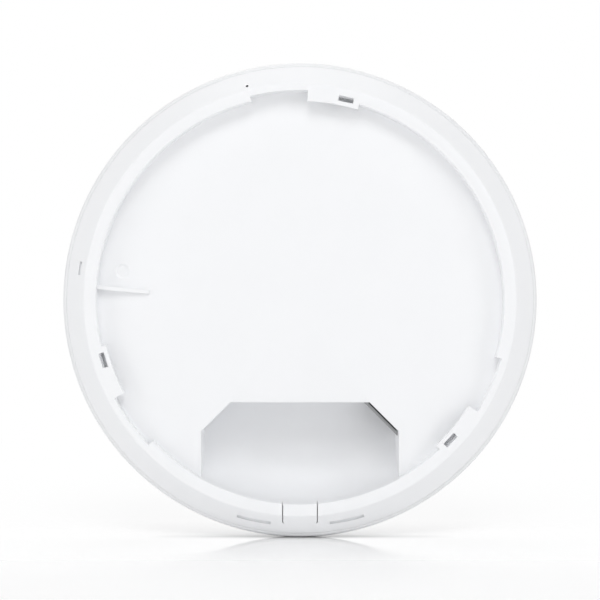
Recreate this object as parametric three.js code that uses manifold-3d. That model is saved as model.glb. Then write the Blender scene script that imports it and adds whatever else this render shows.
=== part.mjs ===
// A round ceiling access point, standing upright as it hangs on a wall.
// Sizes are in millimetres. X points right as seen from behind and Z points up.
// Y runs from the mounting side to the dome.
// The origin is the centre of the sunk mounting floor, so the bracket's disc lies on the plane Y = 0.
import * as THREE from "three";
import { mergeVertices } from "three/addons/utils/BufferGeometryUtils.js";
import Module from "manifold-3d";

const wasm = await Module();
wasm.setup();

// Sizes that several pieces share.
const seatGap = 0.2;
const runningGap = 0.3;
const overrun = 1;
const mergeDistance = 1e-4;
const cornerSteps = 3;
const quarterTurn = Math.PI / 2;

// Outer form: the dome's widest circle drives the rings behind it, each stepped in from the one before.
const domeRadius = 103;
const domeFrontY = 40;
const domePower = 2.35;
const domeWall = 2.5;
const domeEdgeTuck = 1.8;
const domeEdgeWall = 2;
const domeSkirt = 4;
const seamGap = 0.3;
const domeCurveSteps = 9;
const domeInnerSteps = 5;
const domeSkirtSteps = 2;
const domeEdgeRadius = domeRadius - domeEdgeTuck;

const slopeWidth = 8.6;
const slopeDepth = 10;
const rimWidth = 5.2;
const recessDepth = 6;
const housingWall = 2;
const rimEdgeRound = 0.5;
const slopeEdgeRound = 0.9;
const housingSegments = 60;
const slopeRadius = domeEdgeRadius - seamGap;
const rimRadius = slopeRadius - slopeWidth;
const recessRadius = rimRadius - rimWidth;
const rimY = -recessDepth;
const slopeEndY = rimY + slopeDepth;
const slopeRise = slopeDepth / slopeWidth;
const wallAcrossSlope = housingWall * Math.hypot(1, slopeRise);
const domeWidestY = slopeEndY + domeSkirt;

// Lap joint between the shells, with snap teeth on the dome and windows in the lip.
const lipWall = 1.4;
const lipHeight = 4.5;
const snapAngles = [30, 90, 150, 210, 270, 330];
const snapWidth = 12;
const snapReach = 1.1;
const snapHeight = 2;
const snapRamp = 1.2;
const snapRoot = 1.2;
const lipRadius = domeEdgeRadius - domeEdgeWall - runningGap;
const lipInnerRadius = lipRadius - lipWall;
const lipEndY = slopeEndY + lipHeight;
const snapStartY = slopeEndY + snapRoot;

// Bayonet for the bracket's three lugs.
const tabCount = 3;
const tabStart = 73.1;
const tabEnd = 87.9;
const notchEnd = 103.7;
const tabReach = 2.2;
const tabThickness = 2.2;
const channelDepth = 2.4;
const pocketWallAngle = 1.3;
const coreSlotLength = 6.4;
const coreSlotWidth = 2.3;
const coreSlotInset = 0.6;
const coreSlotAngle = 77.05;
const sectorStep = 4;
const tabInnerRadius = recessRadius - tabReach;
const channelRadius = recessRadius + channelDepth;
const coreSlotRadius = channelRadius - coreSlotInset - coreSlotWidth / 2;

// Cable bay. Its outline keeps its shares of the recess's radius, and its depth that of the dome's height.
const bayWidthShare = 0.488;
const bayTopShare = 0.506;
const bayChamferShare = 0.144;
const bayFlatShare = 0.804;
const bayDepthShare = 0.6;
const bayCurveSteps = 6;
const leadInWidth = 3;
const leadInDepth = 0.5;
const bayHalfWidth = recessRadius * bayWidthShare;
const bayTopZ = -recessRadius * bayTopShare;
const bayChamfer = recessRadius * bayChamferShare;
const bayFlatRadius = recessRadius * bayFlatShare;
const bayDepth = domeFrontY * bayDepthShare;
const bayCurveEndY = bayDepth / 8;

// Knock-out tab for a cable that leaves sideways, between two slits.
const knockOutHalfWidth = 7.4;
const knockOutSlit = 0.36;
const knockOutReach = 3.1;
const knockOutCurl = 0.8;
const knockOutDepth = 7.4;
const knockOutEndRadius = rimRadius + knockOutReach;

// Small features of the rear, each on the slope at its own distance from the rim, or on the sunk floor.
const pinholeAngle = 103.9;
const pinholeReach = 2;
const pinholeBore = 0.55;
const pinholeRadius = rimRadius + pinholeReach;
const slopeGrooveDepth = 1.4;
const slopeGrooves = [
  { reach: 2.9, width: 0.9, from: 170, to: 173.5 },
  { reach: 4.3, width: 1.3, from: 253.75, to: 262.5 },
  { reach: 4.3, width: 1.3, from: 277.6, to: 286.5 },
];
const ribZ = 5.5;
const ribLength = 22.6;
const ribLean = -5.5;
const ribWidth = 1.7;
const ribRootHeight = 3.6;
const ribTipHeight = 1.2;
const dimpleInset = 10.7;
const dimpleZ = 12.4;
const dimpleRadius = 3.2;
const dimpleFloorRadius = 2.3;
const dimpleDepth = 0.5;

// Main circuit board and what holds it.
const boardInset = 3.1;
const boardY = 7;
const boardThickness = 1.6;
const boardBayGap = 1;
const boardScrewInset = 6.5;
const boardScrewAngles = [45, 99, 139, 206, 345];
const bossRadius = 3.3;
const bossBore = 1.5;
const bossRibCount = 3;
const bossRibLength = 3.4;
const bossRibWall = 1.1;
const bossRibDrop = 1.6;
const screwShank = 1.2;
const screwHead = 2.6;
const screwHeadHeight = 1.8;
const screwHeadCrown = 0.6;
const screwHole = 1.7;
const screwSides = 8;
const roundSides = 12;
const boardRadius = recessRadius - boardInset;
const boardFrontY = boardY + boardThickness;
const boardScrewRadius = boardRadius - boardScrewInset;

// Network socket behind the bay's right chamfer, its mouth towards the bay's lower left.
// A collar round its mouth fills the corner of the bay.
const jackWidth = 16;
const jackHeight = 13.4;
const jackLength = 21;
const jackProud = 1.9;
const collarThickness = 1.3;
const collarRise = 1.2;
const jackShellWall = 0.5;
const jackTurn = (-3 * Math.PI) / 4;
const windowMargin = 0.3;
const windowSill = 1.2;
const plugWidth = 11.8;
const plugHeight = 6.9;
const plugDepth = 14;
const plugFloor = 3.4;
const latchWidths = [6.2, 3.4];
const latchStep = 1.1;
const contactCount = 8;
const contactPitch = 1.02;
const contactWidth = 0.45;
const contactThickness = 0.4;
const contactLength = 9;
const contactDip = 1.6;
const jackX = bayHalfWidth - bayChamfer / 2;
const jackZ = bayTopZ - bayChamfer / 2;
const jackLowY = boardFrontY + seatGap;
const plugLowY = jackLowY + plugFloor;
const windowLowY = housingWall + windowSill;

// Reset switch under the pinhole.
const tongueWidth = 9;
const tongueGap = 0.8;
const switchWidth = 4.4;
const switchAcross = 2.6;
const switchHeight = 3.4;
const buttonRadius = 0.9;
const buttonTravel = 0.3;
const buttonLength = 3.4;
const buttonProud = 1.6;
const tongueRadius = lipInnerRadius - tongueGap;

// Heat sink over the shield cans. Its outline and the cans keep their shares of its radius.
const canHeight = 2.2;
const canWall = 0.4;
const canLip = 0.5;
const padThickness = 0.7;
const padInset = 1.5;
const canShares = [
  { x: 0, z: 0.55, width: 0.42, height: 0.32 },
  { x: -0.565, z: 0.13, width: 0.32, height: 0.355 },
  { x: 0.55, z: 0.16, width: 0.29, height: 0.29 },
];
const sinkRadiusShare = 0.738;
const sinkStepShare = 0.79;
const sinkScrewShares = { x: 0.758, top: 0.516, low: -0.226 };
const sinkPlate = 2;
const sinkArcSteps = 18;
const sinkJackGap = 7.3;
const finHeight = 8;
const finRoot = 1.6;
const finTip = 1;
const finCount = 17;
const finSide = 11;
const finEdge = 4;
const sinkFootRadius = 4;
const sinkScrewClear = 3.6;
const sinkRadius = boardRadius * sinkRadiusShare;
const sinkY = boardFrontY + seatGap + canHeight + seatGap + padThickness + seatGap;
const sinkFrontY = sinkY + sinkPlate;
const sinkBottomZ = bayTopZ + housingWall + boardBayGap;
const sinkCutX = sinkBottomZ + jackX - jackZ - Math.SQRT2 * (jackWidth / 2 + sinkJackGap);
const sinkStepX = sinkRadius * sinkStepShare;
const finPitch = (2 * (sinkRadius - finSide)) / finCount;
const shieldCans = canShares.map(({ x, z, width, height }) => ({
  x: x * sinkRadius,
  z: z * sinkRadius,
  width: width * sinkRadius,
  height: height * sinkRadius,
}));

// Status light at the front.
const lightInset = 10;
const ringRadius = 25;
const ringSegments = 30;
const lensWidth = 1.7;
const lensDepth = 1.1;
const guideWidth = 2;
const guideFoot = 3.6;
const guideFootHeight = 1.2;
const grooveDepth = 0.6;
const lightBoardMargin = 5;
const lightBoardHoleShare = 0.3;
const lightBoardThickness = 1.2;
const lightPostRadius = 2.6;
const lightPostInset = 8;
const lightPostCount = 3;
const stakeRadius = 1.4;
const stakeHead = 2.5;
const stakeHeadHeight = 1;
const ledCount = 4;
const ledWidth = 3;
const ledHeight = 0.8;
const ledAcross = 1.6;
const lightBoardY = domeFrontY - lightInset;
const lightBoardRadius = ringRadius + lightBoardMargin;
const lightPostPlace = ringRadius - lightPostInset;

// Cooling blower on the heat sink. Its parts keep their shares of its half width.
const blowerHalfWidth = 20;
const blowerInset = 7;
const blowerCornerRadius = 2.5;
const blowerFloor = 0.8;
const blowerCoverWall = 0.8;
const blowerDepthShare = 0.446;
const blowerShares = {
  voluteStart: 0.82,
  voluteEnd: 0.915,
  impeller: 0.77,
  inlet: 0.575,
  bladeRoot: 0.52,
  hub: 0.4,
  stator: 0.315,
  core: 0.18,
  screw: 0.86,
};
const voluteFrom = 60;
const voluteSteps = 15;
const impellerHubWall = 1;
const impellerWeb = 0.7;
const impellerTopGap = 0.5;
const impellerSides = 30;
const bladeCount = 15;
const bladeThickness = 0.6;
const bladeSweep = 24;
const bladeSteps = 3;
const shaftRadius = 0.8;
const bearingWall = 1.1;
const statorPoles = 4;
const statorPoleWidth = 1.8;
const statorShoeAngle = 32;
const statorHeightShare = 0.43;
const blowerY = sinkFrontY + seatGap;
const blowerZ = sinkBottomZ + blowerHalfWidth + blowerInset;
const blowerDepth = (lightBoardY - blowerY) * blowerDepthShare;
const impellerRadius = blowerHalfWidth * blowerShares.impeller;
const impellerHub = blowerHalfWidth * blowerShares.hub;
const bladeRootRadius = blowerHalfWidth * blowerShares.bladeRoot;
const statorRadius = blowerHalfWidth * blowerShares.stator;
const statorCore = blowerHalfWidth * blowerShares.core;
const statorHeight = blowerDepth * statorHeightShare;
const blowerScrewPlace = blowerHalfWidth * blowerShares.screw;

// Leads inside: a flat one from the light board over the fins, and the blower's along the sink's lower edge.
const ribbonWidth = 7;
const ribbonThickness = 0.4;
const ribbonTuck = 3;
const ribbonRise = 3.5;
const ribbonDrop = 4.6;
const ribbonSteps = 14;
const ribbonSocketWidth = 10;
const ribbonSocketHeight = 3;
const ribbonSocketAcross = 3.6;
const ribbonSocketFloor = 0.8;
const leadRadius = 0.7;
const leadStartX = -12;
const leadDrop = 2.6;
const leadSteps = 18;
const leadSides = 6;

// Antennas, power parts and network parts on the board, at angles and at shares of the board's radius.
const antennaInset = 11;
const antennaAngles = [18, 66, 82, 118, 156, 184];
const antennaLengthShare = 0.202;
const antennaHeight = 11;
const antennaArm = 2.4;
const antennaLeg = 1.8;
const antennaSheet = 0.6;
const capacitorRadius = 4;
const capacitorHeight = 11;
const capacitorCrimp = 0.4;
const capacitorAngles = [312.9, 197.5, 356.1];
const capacitorShares = [0.926, 0.911, 0.871];
const inductorRadius = 4.6;
const inductorHeight = 5.4;
const inductorFlangeShare = 0.2;
const inductorAngle = 226.6;
const inductorPlaceShare = 0.918;
const powerTransformerAngle = 214.5;
const powerTransformerPlaceShare = 0.868;
const powerTransformerSideShare = 0.155;
const powerTransformerHeight = 9.5;
const powerTransformerCoreShare = 0.62;
const powerTransformerStepShare = 0.2;
const lanTransformerAngle = 335;
const lanTransformerPlaceShare = 0.849;
const lanTransformerWidthShare = 0.131;
const lanTransformerLengthShare = 0.178;
const lanTransformerHeight = 5.5;
const antennaRadius = boardRadius - antennaInset;

// Materials, one for each kind of stuff.
function finish(color, roughness, metalness) {
  return new THREE.MeshStandardMaterial({ color, roughness, metalness });
}

const whitePlastic = finish(0xf3f5f6, 0.45, 0);
const domePlastic = finish(0xf1f3f4, 0.4, 0);
const blackPlastic = finish(0x202224, 0.55, 0);
const boardGreen = finish(0x1f5a3c, 0.5, 0);
const tinned = finish(0xb9bcc0, 0.35, 1);
const castAluminium = finish(0x9fa3a7, 0.5, 1);
const gold = finish(0xc9a14a, 0.3, 1);
const padGrey = finish(0x6e7f8c, 0.9, 0);
const lensWhite = finish(0xe6ecef, 0.3, 0);
const clearAcrylic = finish(0xdfe6ea, 0.15, 0);
const screwSteel = finish(0x8d9094, 0.35, 1);
const coilCopper = finish(0xa5643a, 0.4, 1);
const capacitorSkin = finish(0x2c3036, 0.4, 0.2);
const ledYellow = finish(0xe9dfae, 0.35, 0);
const ferrite = finish(0x3a3c3f, 0.7, 0);
const ribbonFilm = finish(0xd9d6cc, 0.5, 0);
const leadJacket = finish(0x2a2a2c, 0.8, 0);

// Turns a three.js geometry into a solid that can be joined and cut.
function solid(geometry) {
  const bare = new THREE.BufferGeometry();
  bare.setAttribute("position", geometry.getAttribute("position"));
  bare.setIndex(geometry.index);
  const merged = mergeVertices(bare, mergeDistance);
  const corners = merged.index.array;
  const build = (flip) => {
    const triangles = [];
    for (let i = 0; i < corners.length; i += 3) {
      const [a, b, c] = [corners[i], corners[i + 1], corners[i + 2]];
      if (a === b || b === c || c === a) continue;
      triangles.push(a, flip ? c : b, flip ? b : c);
    }
    const vertProperties = new Float32Array(merged.attributes.position.array);
    const triVerts = new Uint32Array(triangles);
    return new wasm.Manifold(new wasm.Mesh({ numProp: 3, vertProperties, triVerts }));
  };
  const made = build(false);
  return made.volume() < 0 ? build(true) : made;
}

const join = (first, ...others) => others.reduce((sum, other) => sum.add(other), first);
const cut = (first, ...tools) => tools.reduce((rest, tool) => rest.subtract(tool), first);

// Puts a finished solid into the scene graph as a named mesh.
function piece(name, body, material) {
  const data = body.getMesh();
  const geometry = new THREE.BufferGeometry();
  geometry.setAttribute("position", new THREE.BufferAttribute(new Float32Array(data.vertProperties), 3));
  geometry.setIndex(new THREE.BufferAttribute(new Uint32Array(data.triVerts), 1));
  geometry.computeVertexNormals();
  const mesh = new THREE.Mesh(geometry, material);
  mesh.name = name;
  return mesh;
}

const radians = (degrees) => THREE.MathUtils.degToRad(degrees);
const polar = (radius, degrees) => [radius * Math.cos(radians(degrees)), radius * Math.sin(radians(degrees))];

// A profile of radius and Y turned about the unit's axis.
function turned(profile, segments, steps = 1) {
  const points = profile.getPoints(steps);
  return solid(new THREE.LatheGeometry(points, segments));
}

// A shape drawn in X and Z, given thickness from one Y to another.
function plate(shape, lowY, highY, steps = 1) {
  const geometry = new THREE.ExtrudeGeometry(shape, {
    depth: highY - lowY,
    bevelEnabled: false,
    curveSegments: steps,
  });
  return solid(geometry.rotateX(quarterTurn).translate(0, highY, 0));
}

// A ring's sector between two angles, as a thick plate.
function sector(inner, outer, fromAngle, toAngle, lowY, highY) {
  const steps = Math.max(2, Math.ceil((toAngle - fromAngle) / sectorStep));
  const angles = Array.from({ length: steps + 1 }, (_, i) => fromAngle + ((toAngle - fromAngle) * i) / steps);
  const outside = angles.map((angle) => new THREE.Vector2(...polar(outer, angle)));
  const inside = angles.map((angle) => new THREE.Vector2(...polar(inner, angle))).reverse();
  return plate(new THREE.Shape([...outside, ...inside]), lowY, highY);
}

function block(width, lowY, highY, length, x = 0, z = 0, turn = 0) {
  const geometry = new THREE.BoxGeometry(width, highY - lowY, length);
  return solid(geometry.rotateY(turn).translate(x, (lowY + highY) / 2, z));
}

function rod(radius, lowY, highY, x = 0, z = 0, sides = screwSides) {
  const geometry = new THREE.CylinderGeometry(radius, radius, highY - lowY, sides);
  return solid(geometry.translate(x, (lowY + highY) / 2, z));
}

function roundedSquare(half, corner) {
  const flat = half - corner;
  const shape = new THREE.Shape();
  shape.moveTo(-flat, -half);
  shape.lineTo(flat, -half);
  shape.quadraticCurveTo(half, -half, half, -flat);
  shape.lineTo(half, flat);
  shape.quadraticCurveTo(half, half, flat, half);
  shape.lineTo(-flat, half);
  shape.quadraticCurveTo(-half, half, -half, flat);
  shape.lineTo(-half, -flat);
  shape.quadraticCurveTo(-half, -half, -flat, -half);
  return shape;
}

// A strip of even thickness along a flat curve.
function strip(curve, thickness, steps) {
  const side = (offset) =>
    Array.from({ length: steps + 1 }, (_, i) => {
      const tangent = curve.getTangent(i / steps);
      const across = new THREE.Vector2(-tangent.y, tangent.x).multiplyScalar(offset);
      return curve.getPoint(i / steps).add(across);
    });
  return new THREE.Shape([...side(thickness / 2), ...side(-thickness / 2).reverse()]);
}

// A profile of Z and Y given width along X, with its middle at X = 0.
function acrossX(shape, width) {
  const geometry = new THREE.ExtrudeGeometry(shape, { depth: width, bevelEnabled: false });
  return solid(geometry.rotateY(-quarterTurn).translate(width / 2, 0, 0));
}

// The bay's outline, grown outwards for its walls and for the board's cut-out.
function bayOutline(grow) {
  const shift = grow * Math.tan(quarterTurn / 4);
  const side = bayHalfWidth + grow;
  const top = bayTopZ + grow;
  const flat = bayHalfWidth - bayChamfer + shift;
  const shoulder = bayTopZ - bayChamfer + shift;
  const bottom = -domeRadius;
  return new THREE.Shape([
    new THREE.Vector2(-side, bottom),
    new THREE.Vector2(side, bottom),
    new THREE.Vector2(side, shoulder),
    new THREE.Vector2(flat, top),
    new THREE.Vector2(-flat, top),
    new THREE.Vector2(-side, shoulder),
  ]);
}

// The round form that gives the bay its floor: flat in the middle, then rising to the rim's wall.
function bayBowl(grow, lowY) {
  const profile = new THREE.Path();
  const width = recessRadius - bayFlatRadius + grow;
  const depth = bayDepth - bayCurveEndY + grow;
  profile.moveTo(0, lowY);
  profile.lineTo(recessRadius + grow, lowY);
  profile.lineTo(recessRadius + grow, bayCurveEndY);
  for (let i = 1; i <= bayCurveSteps; i++) {
    const angle = (quarterTurn * i) / bayCurveSteps;
    profile.lineTo(bayFlatRadius + width * Math.cos(angle), bayCurveEndY + depth * Math.sin(angle));
  }
  profile.lineTo(0, bayDepth + grow);
  return turned(profile, housingSegments);
}

// The rear shell's wall, turned in one piece from the mounting floor to the lip inside the dome.
function rearShell() {
  const innerFlatRadius = rimRadius + (housingWall - wallAcrossSlope) / slopeRise;
  const innerSlopeEndY = rimY + (lipInnerRadius - rimRadius) * slopeRise + wallAcrossSlope;
  const slopeRun = slopeEdgeRound / Math.hypot(1, slopeRise);
  const profile = new THREE.Path();
  profile.moveTo(0, 0);
  profile.lineTo(recessRadius, 0);
  profile.lineTo(recessRadius, rimY + rimEdgeRound);
  profile.quadraticCurveTo(recessRadius, rimY, recessRadius + rimEdgeRound, rimY);
  profile.lineTo(rimRadius - slopeEdgeRound, rimY);
  profile.quadraticCurveTo(rimRadius, rimY, rimRadius + slopeRun, rimY + slopeRun * slopeRise);
  profile.lineTo(slopeRadius, slopeEndY);
  profile.lineTo(lipRadius, slopeEndY);
  profile.lineTo(lipRadius, lipEndY);
  profile.lineTo(lipInnerRadius, lipEndY);
  profile.lineTo(lipInnerRadius, innerSlopeEndY);
  profile.lineTo(innerFlatRadius, rimY + housingWall);
  profile.lineTo(recessRadius + housingWall, rimY + housingWall);
  profile.lineTo(recessRadius + housingWall, housingWall);
  profile.lineTo(0, housingWall);
  return turned(profile, housingSegments, 2);
}

// Each bayonet station: a pocket in the wall, an open notch for the lug and a tab that the lug turns under.
function bayonetPocket(turn) {
  const outer = channelRadius + housingWall;
  const inner = recessRadius + housingWall / 2;
  const [from, to] = [turn + tabStart - pocketWallAngle, turn + notchEnd + pocketWallAngle];
  return sector(inner, outer, from, to, rimY + housingWall / 2, housingWall);
}

function bayonetChannel(turn) {
  const inner = tabInnerRadius - overrun;
  const underTab = sector(inner, channelRadius, turn + tabStart, turn + notchEnd, rimY + tabThickness, 0);
  const notch = sector(inner, channelRadius, turn + tabEnd, turn + notchEnd, rimY - overrun, 0);
  return underTab.add(notch);
}

function bayonetTab(turn) {
  const outer = channelRadius + housingWall / 2;
  return sector(tabInnerRadius, outer, turn + tabStart, turn + tabEnd, rimY, rimY + tabThickness);
}

function coreSlot(turn) {
  const angle = turn + coreSlotAngle;
  const [x, z] = polar(coreSlotRadius, angle);
  const [lowY, highY] = [rimY - overrun, rimY + tabThickness + overrun];
  return block(coreSlotWidth, lowY, highY, coreSlotLength, x, z, -radians(angle));
}

// The raised rib that guides the bracket's spring, highest at the wall and running out on the floor.
function guideRib() {
  const profile = new THREE.Shape();
  const foot = housingWall / 2;
  profile.moveTo(0, foot);
  profile.lineTo(0, -ribRootHeight);
  profile.lineTo(ribLength - ribWidth, -ribTipHeight);
  profile.quadraticCurveTo(ribLength, -ribTipHeight, ribLength, foot);
  const options = { depth: ribWidth, bevelEnabled: false, curveSegments: cornerSteps };
  const geometry = new THREE.ExtrudeGeometry(profile, options);
  geometry.translate(0, 0, -ribWidth / 2).rotateY(-radians(ribLean)).translate(-recessRadius, 0, ribZ);
  return solid(geometry);
}

// A board boss: a bored post with three gussets, standing on the floor inside the shell.
function boss([x, z], topY) {
  const post = rod(bossRadius, housingWall / 2, topY, x, z);
  const gussets = Array.from({ length: bossRibCount }, (_, i) => {
    const angle = (360 * i) / bossRibCount;
    const [dx, dz] = polar(bossRadius, angle);
    const turn = -radians(angle);
    return block(bossRibLength, housingWall / 2, topY - bossRibDrop, bossRibWall, x + dx, z + dz, turn);
  });
  return join(post, ...gussets);
}

const boardScrewPlaces = boardScrewAngles.map((angle) => polar(boardScrewRadius, angle));
const sinkScrewPlaces = [sinkScrewShares.top, sinkScrewShares.low].flatMap((z) =>
  [-sinkScrewShares.x, sinkScrewShares.x].map((x) => [x * sinkRadius, z * sinkRadius]),
);
const bossPlaces = [...boardScrewPlaces, ...sinkScrewPlaces];

// The window in the bay's chamfered wall that the network socket looks through.
function jackWindow() {
  const width = jackWidth + 2 * windowMargin;
  const highY = jackLowY + jackHeight + windowMargin;
  return block(width, windowLowY, highY, 2 * (housingWall + overrun), jackX, jackZ, jackTurn);
}

// A slit beside the knock-out tab, curling in a little at its outer end.
function knockOutSlits() {
  const half = knockOutSlit / 2;
  const [lowY, highY] = [rimY - overrun, rimY + knockOutDepth];
  const slits = [-1, 1].map((side) => {
    const x = side * knockOutHalfWidth;
    const shape = new THREE.Shape([
      new THREE.Vector2(x - side * half, -recessRadius + overrun),
      new THREE.Vector2(x - side * half, -knockOutEndRadius),
      new THREE.Vector2(x - side * knockOutCurl, -knockOutEndRadius - knockOutCurl),
      new THREE.Vector2(x + side * half, -knockOutEndRadius),
      new THREE.Vector2(x + side * half, -recessRadius + overrun),
    ]);
    return plate(shape, lowY, highY);
  });
  return join(...slits);
}

// A shallow groove in the slope, closed at its floor.
function slopeGroove({ reach, width, from, to }) {
  const radius = rimRadius + reach;
  const floorY = rimY + reach * slopeRise + slopeGrooveDepth;
  return sector(radius - width / 2, radius + width / 2, from, to, rimY, floorY);
}

// A shallow dish in the sunk floor.
function dimple() {
  const flare = (dimpleRadius - dimpleFloorRadius) / dimpleDepth;
  const height = dimpleDepth + overrun;
  const openRadius = dimpleFloorRadius + flare * height;
  const geometry = new THREE.CylinderGeometry(dimpleFloorRadius, openRadius, height, 2 * roundSides);
  return solid(geometry.translate(dimpleInset - recessRadius, dimpleDepth - height / 2, dimpleZ));
}

function snapWindow(angle) {
  const [x, z] = polar(lipRadius - lipWall / 2, angle);
  const [lowY, highY] = [snapStartY - runningGap, snapStartY + snapHeight + runningGap];
  return block(lipWall + 2 * overrun, lowY, highY, snapWidth + 2 * runningGap, x, z, -radians(angle));
}

function leadIn() {
  const flat = bayHalfWidth - bayChamfer;
  const profile = new THREE.Shape([
    new THREE.Vector2(bayTopZ + leadInWidth, 0),
    new THREE.Vector2(bayTopZ - overrun, 0),
    new THREE.Vector2(bayTopZ - overrun, leadInDepth * (1 + overrun / leadInWidth)),
  ]);
  return acrossX(profile, 2 * flat - leadInWidth);
}

function rearHousing() {
  const stations = Array.from({ length: tabCount }, (_, i) => (360 * i) / tabCount);
  const bayWall = plate(bayOutline(housingWall), housingWall / 2, bayDepth + 2 * housingWall);
  const tub = bayWall.intersect(bayBowl(housingWall, housingWall / 2));
  const shell = join(
    rearShell(),
    tub,
    ...stations.map(bayonetPocket),
    ...bossPlaces.map((place) => boss(place, boardY - seatGap)),
  );
  const bay = plate(bayOutline(0), -overrun, bayDepth + overrun).intersect(bayBowl(0, -overrun));
  const open = cut(shell, bay, leadIn(), ...stations.map(bayonetChannel));
  const tabbed = join(open, guideRib(), ...stations.map(bayonetTab));
  const pilotHoles = bossPlaces.map(([x, z]) => rod(bossBore, housingWall, boardY, x, z));
  const pinhole = rod(pinholeBore, rimY, housingWall, ...polar(pinholeRadius, pinholeAngle));
  return cut(
    tabbed,
    ...pilotHoles,
    ...stations.map(coreSlot),
    ...snapAngles.map(snapWindow),
    ...slopeGrooves.map(slopeGroove),
    pinhole,
    dimple(),
    jackWindow(),
    knockOutSlits(),
  );
}

// The dome's curve: flat in front, rounding over to its widest circle.
function domePoint(radius, rise, share) {
  const angle = quarterTurn * share;
  const r = radius * Math.cos(angle) ** (2 / domePower);
  return [share === 1 ? 0 : r, domeWidestY + rise * Math.sin(angle) ** (2 / domePower)];
}

const domeRise = domeFrontY - domeWidestY;
const domeInnerRadius = domeRadius - domeWall;
const domeInnerRise = domeRise - domeWall;
const domeHeightAt = (radius, outer, rise) =>
  domeWidestY + rise * (1 - (radius / outer) ** domePower) ** (1 / domePower);

function snapTooth(angle) {
  const wallRadius = domeEdgeRadius - domeEdgeWall;
  const shape = new THREE.Shape([
    new THREE.Vector2(wallRadius + domeEdgeWall / 2, snapStartY),
    new THREE.Vector2(wallRadius + domeEdgeWall / 2, snapStartY + snapHeight),
    new THREE.Vector2(wallRadius - snapReach, snapStartY + snapHeight),
    new THREE.Vector2(wallRadius - snapReach, snapStartY + snapRamp),
  ]);
  const geometry = new THREE.ExtrudeGeometry(shape, { depth: snapWidth, bevelEnabled: false });
  return solid(geometry.translate(0, 0, -snapWidth / 2).rotateY(-radians(angle)));
}

const lightPostPlaces = Array.from({ length: lightPostCount }, (_, i) =>
  polar(lightPostPlace, 90 + (360 * i) / lightPostCount),
);

// A post under the dome for the light board: a shoulder, a stake through the board and its melted head.
function lightPost([x, z]) {
  const shoulderY = lightBoardY + lightBoardThickness + seatGap;
  const headY = lightBoardY - seatGap;
  const profile = new THREE.Path();
  profile.moveTo(0, headY - stakeHeadHeight);
  profile.lineTo(stakeRadius, headY - stakeHeadHeight);
  profile.lineTo(stakeHead, headY - stakeHeadHeight / 2);
  profile.lineTo(stakeHead, headY);
  profile.lineTo(stakeRadius, headY);
  profile.lineTo(stakeRadius, shoulderY);
  profile.lineTo(lightPostRadius, shoulderY);
  profile.lineTo(lightPostRadius, domeFrontY - domeWall);
  profile.lineTo(0, domeFrontY - domeWall);
  const geometry = new THREE.LatheGeometry(profile.getPoints(1), screwSides);
  return solid(geometry.translate(x, 0, z));
}

const guideTopY = domeHeightAt(ringRadius, domeInnerRadius, domeInnerRise) + grooveDepth - seatGap;

function frontDome() {
  const edgeY = slopeEndY + seamGap;
  const profile = new THREE.Path();
  profile.moveTo(0, domeWidestY + domeInnerRise);
  for (let i = domeInnerSteps - 1; i >= 0; i--) {
    profile.lineTo(...domePoint(domeInnerRadius, domeInnerRise, i / domeInnerSteps));
  }
  profile.lineTo(domeEdgeRadius - domeEdgeWall, domeWidestY);
  profile.lineTo(domeEdgeRadius - domeEdgeWall, edgeY);
  profile.lineTo(domeEdgeRadius, edgeY);
  for (let i = 1; i <= domeSkirtSteps; i++) {
    const angle = (quarterTurn * i) / domeSkirtSteps;
    const rise = (domeWidestY - edgeY) * (1 - Math.cos(angle));
    profile.lineTo(domeEdgeRadius + (domeRadius - domeEdgeRadius) * Math.sin(angle), edgeY + rise);
  }
  for (let i = 1; i <= domeCurveSteps; i++) {
    profile.lineTo(...domePoint(domeRadius, domeRise, i / domeCurveSteps));
  }
  const posts = lightPostPlaces.map(lightPost);
  const shell = join(turned(profile, housingSegments), ...snapAngles.map(snapTooth), ...posts);
  const ring = (width, lowY, highY) => {
    const groove = new THREE.Path();
    groove.moveTo(ringRadius - width / 2, lowY);
    groove.lineTo(ringRadius + width / 2, lowY);
    groove.lineTo(ringRadius + width / 2, highY);
    groove.lineTo(ringRadius - width / 2, highY);
    groove.closePath();
    return turned(groove, ringSegments);
  };
  const lensSeatY = domeHeightAt(ringRadius, domeRadius, domeRise) - lensDepth;
  return cut(
    shell,
    ring(lensWidth + 2 * seatGap, lensSeatY - seatGap, domeFrontY + overrun),
    ring(guideWidth + 2 * seatGap, lightBoardY, guideTopY + seatGap),
  );
}

// The lens lies flush in the dome's outer groove, its top following the dome's curve.
function lightRing() {
  const [inner, outer] = [ringRadius - lensWidth / 2, ringRadius + lensWidth / 2];
  const lowY = domeHeightAt(ringRadius, domeRadius, domeRise) - lensDepth;
  const profile = new THREE.Path();
  profile.moveTo(inner, lowY);
  profile.lineTo(outer, lowY);
  profile.lineTo(outer, domeHeightAt(outer, domeRadius, domeRise));
  profile.lineTo(inner, domeHeightAt(inner, domeRadius, domeRise));
  profile.closePath();
  return turned(profile, ringSegments);
}

// The clear guide carries the light from the chips up into the dome's inner groove.
function lightGuide() {
  const lowY = lightBoardY + lightBoardThickness + ledHeight + 2 * seatGap;
  const [thin, wide] = [guideWidth / 2, guideFoot / 2];
  const profile = new THREE.Path();
  profile.moveTo(ringRadius - wide, lowY);
  profile.lineTo(ringRadius + wide, lowY);
  profile.lineTo(ringRadius + wide, lowY + guideFootHeight);
  profile.lineTo(ringRadius + thin, lowY + 2 * guideFootHeight);
  profile.lineTo(ringRadius + thin, guideTopY);
  profile.lineTo(ringRadius - thin, guideTopY);
  profile.lineTo(ringRadius - thin, lowY + 2 * guideFootHeight);
  profile.lineTo(ringRadius - wide, lowY + guideFootHeight);
  profile.closePath();
  return turned(profile, ringSegments);
}

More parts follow.
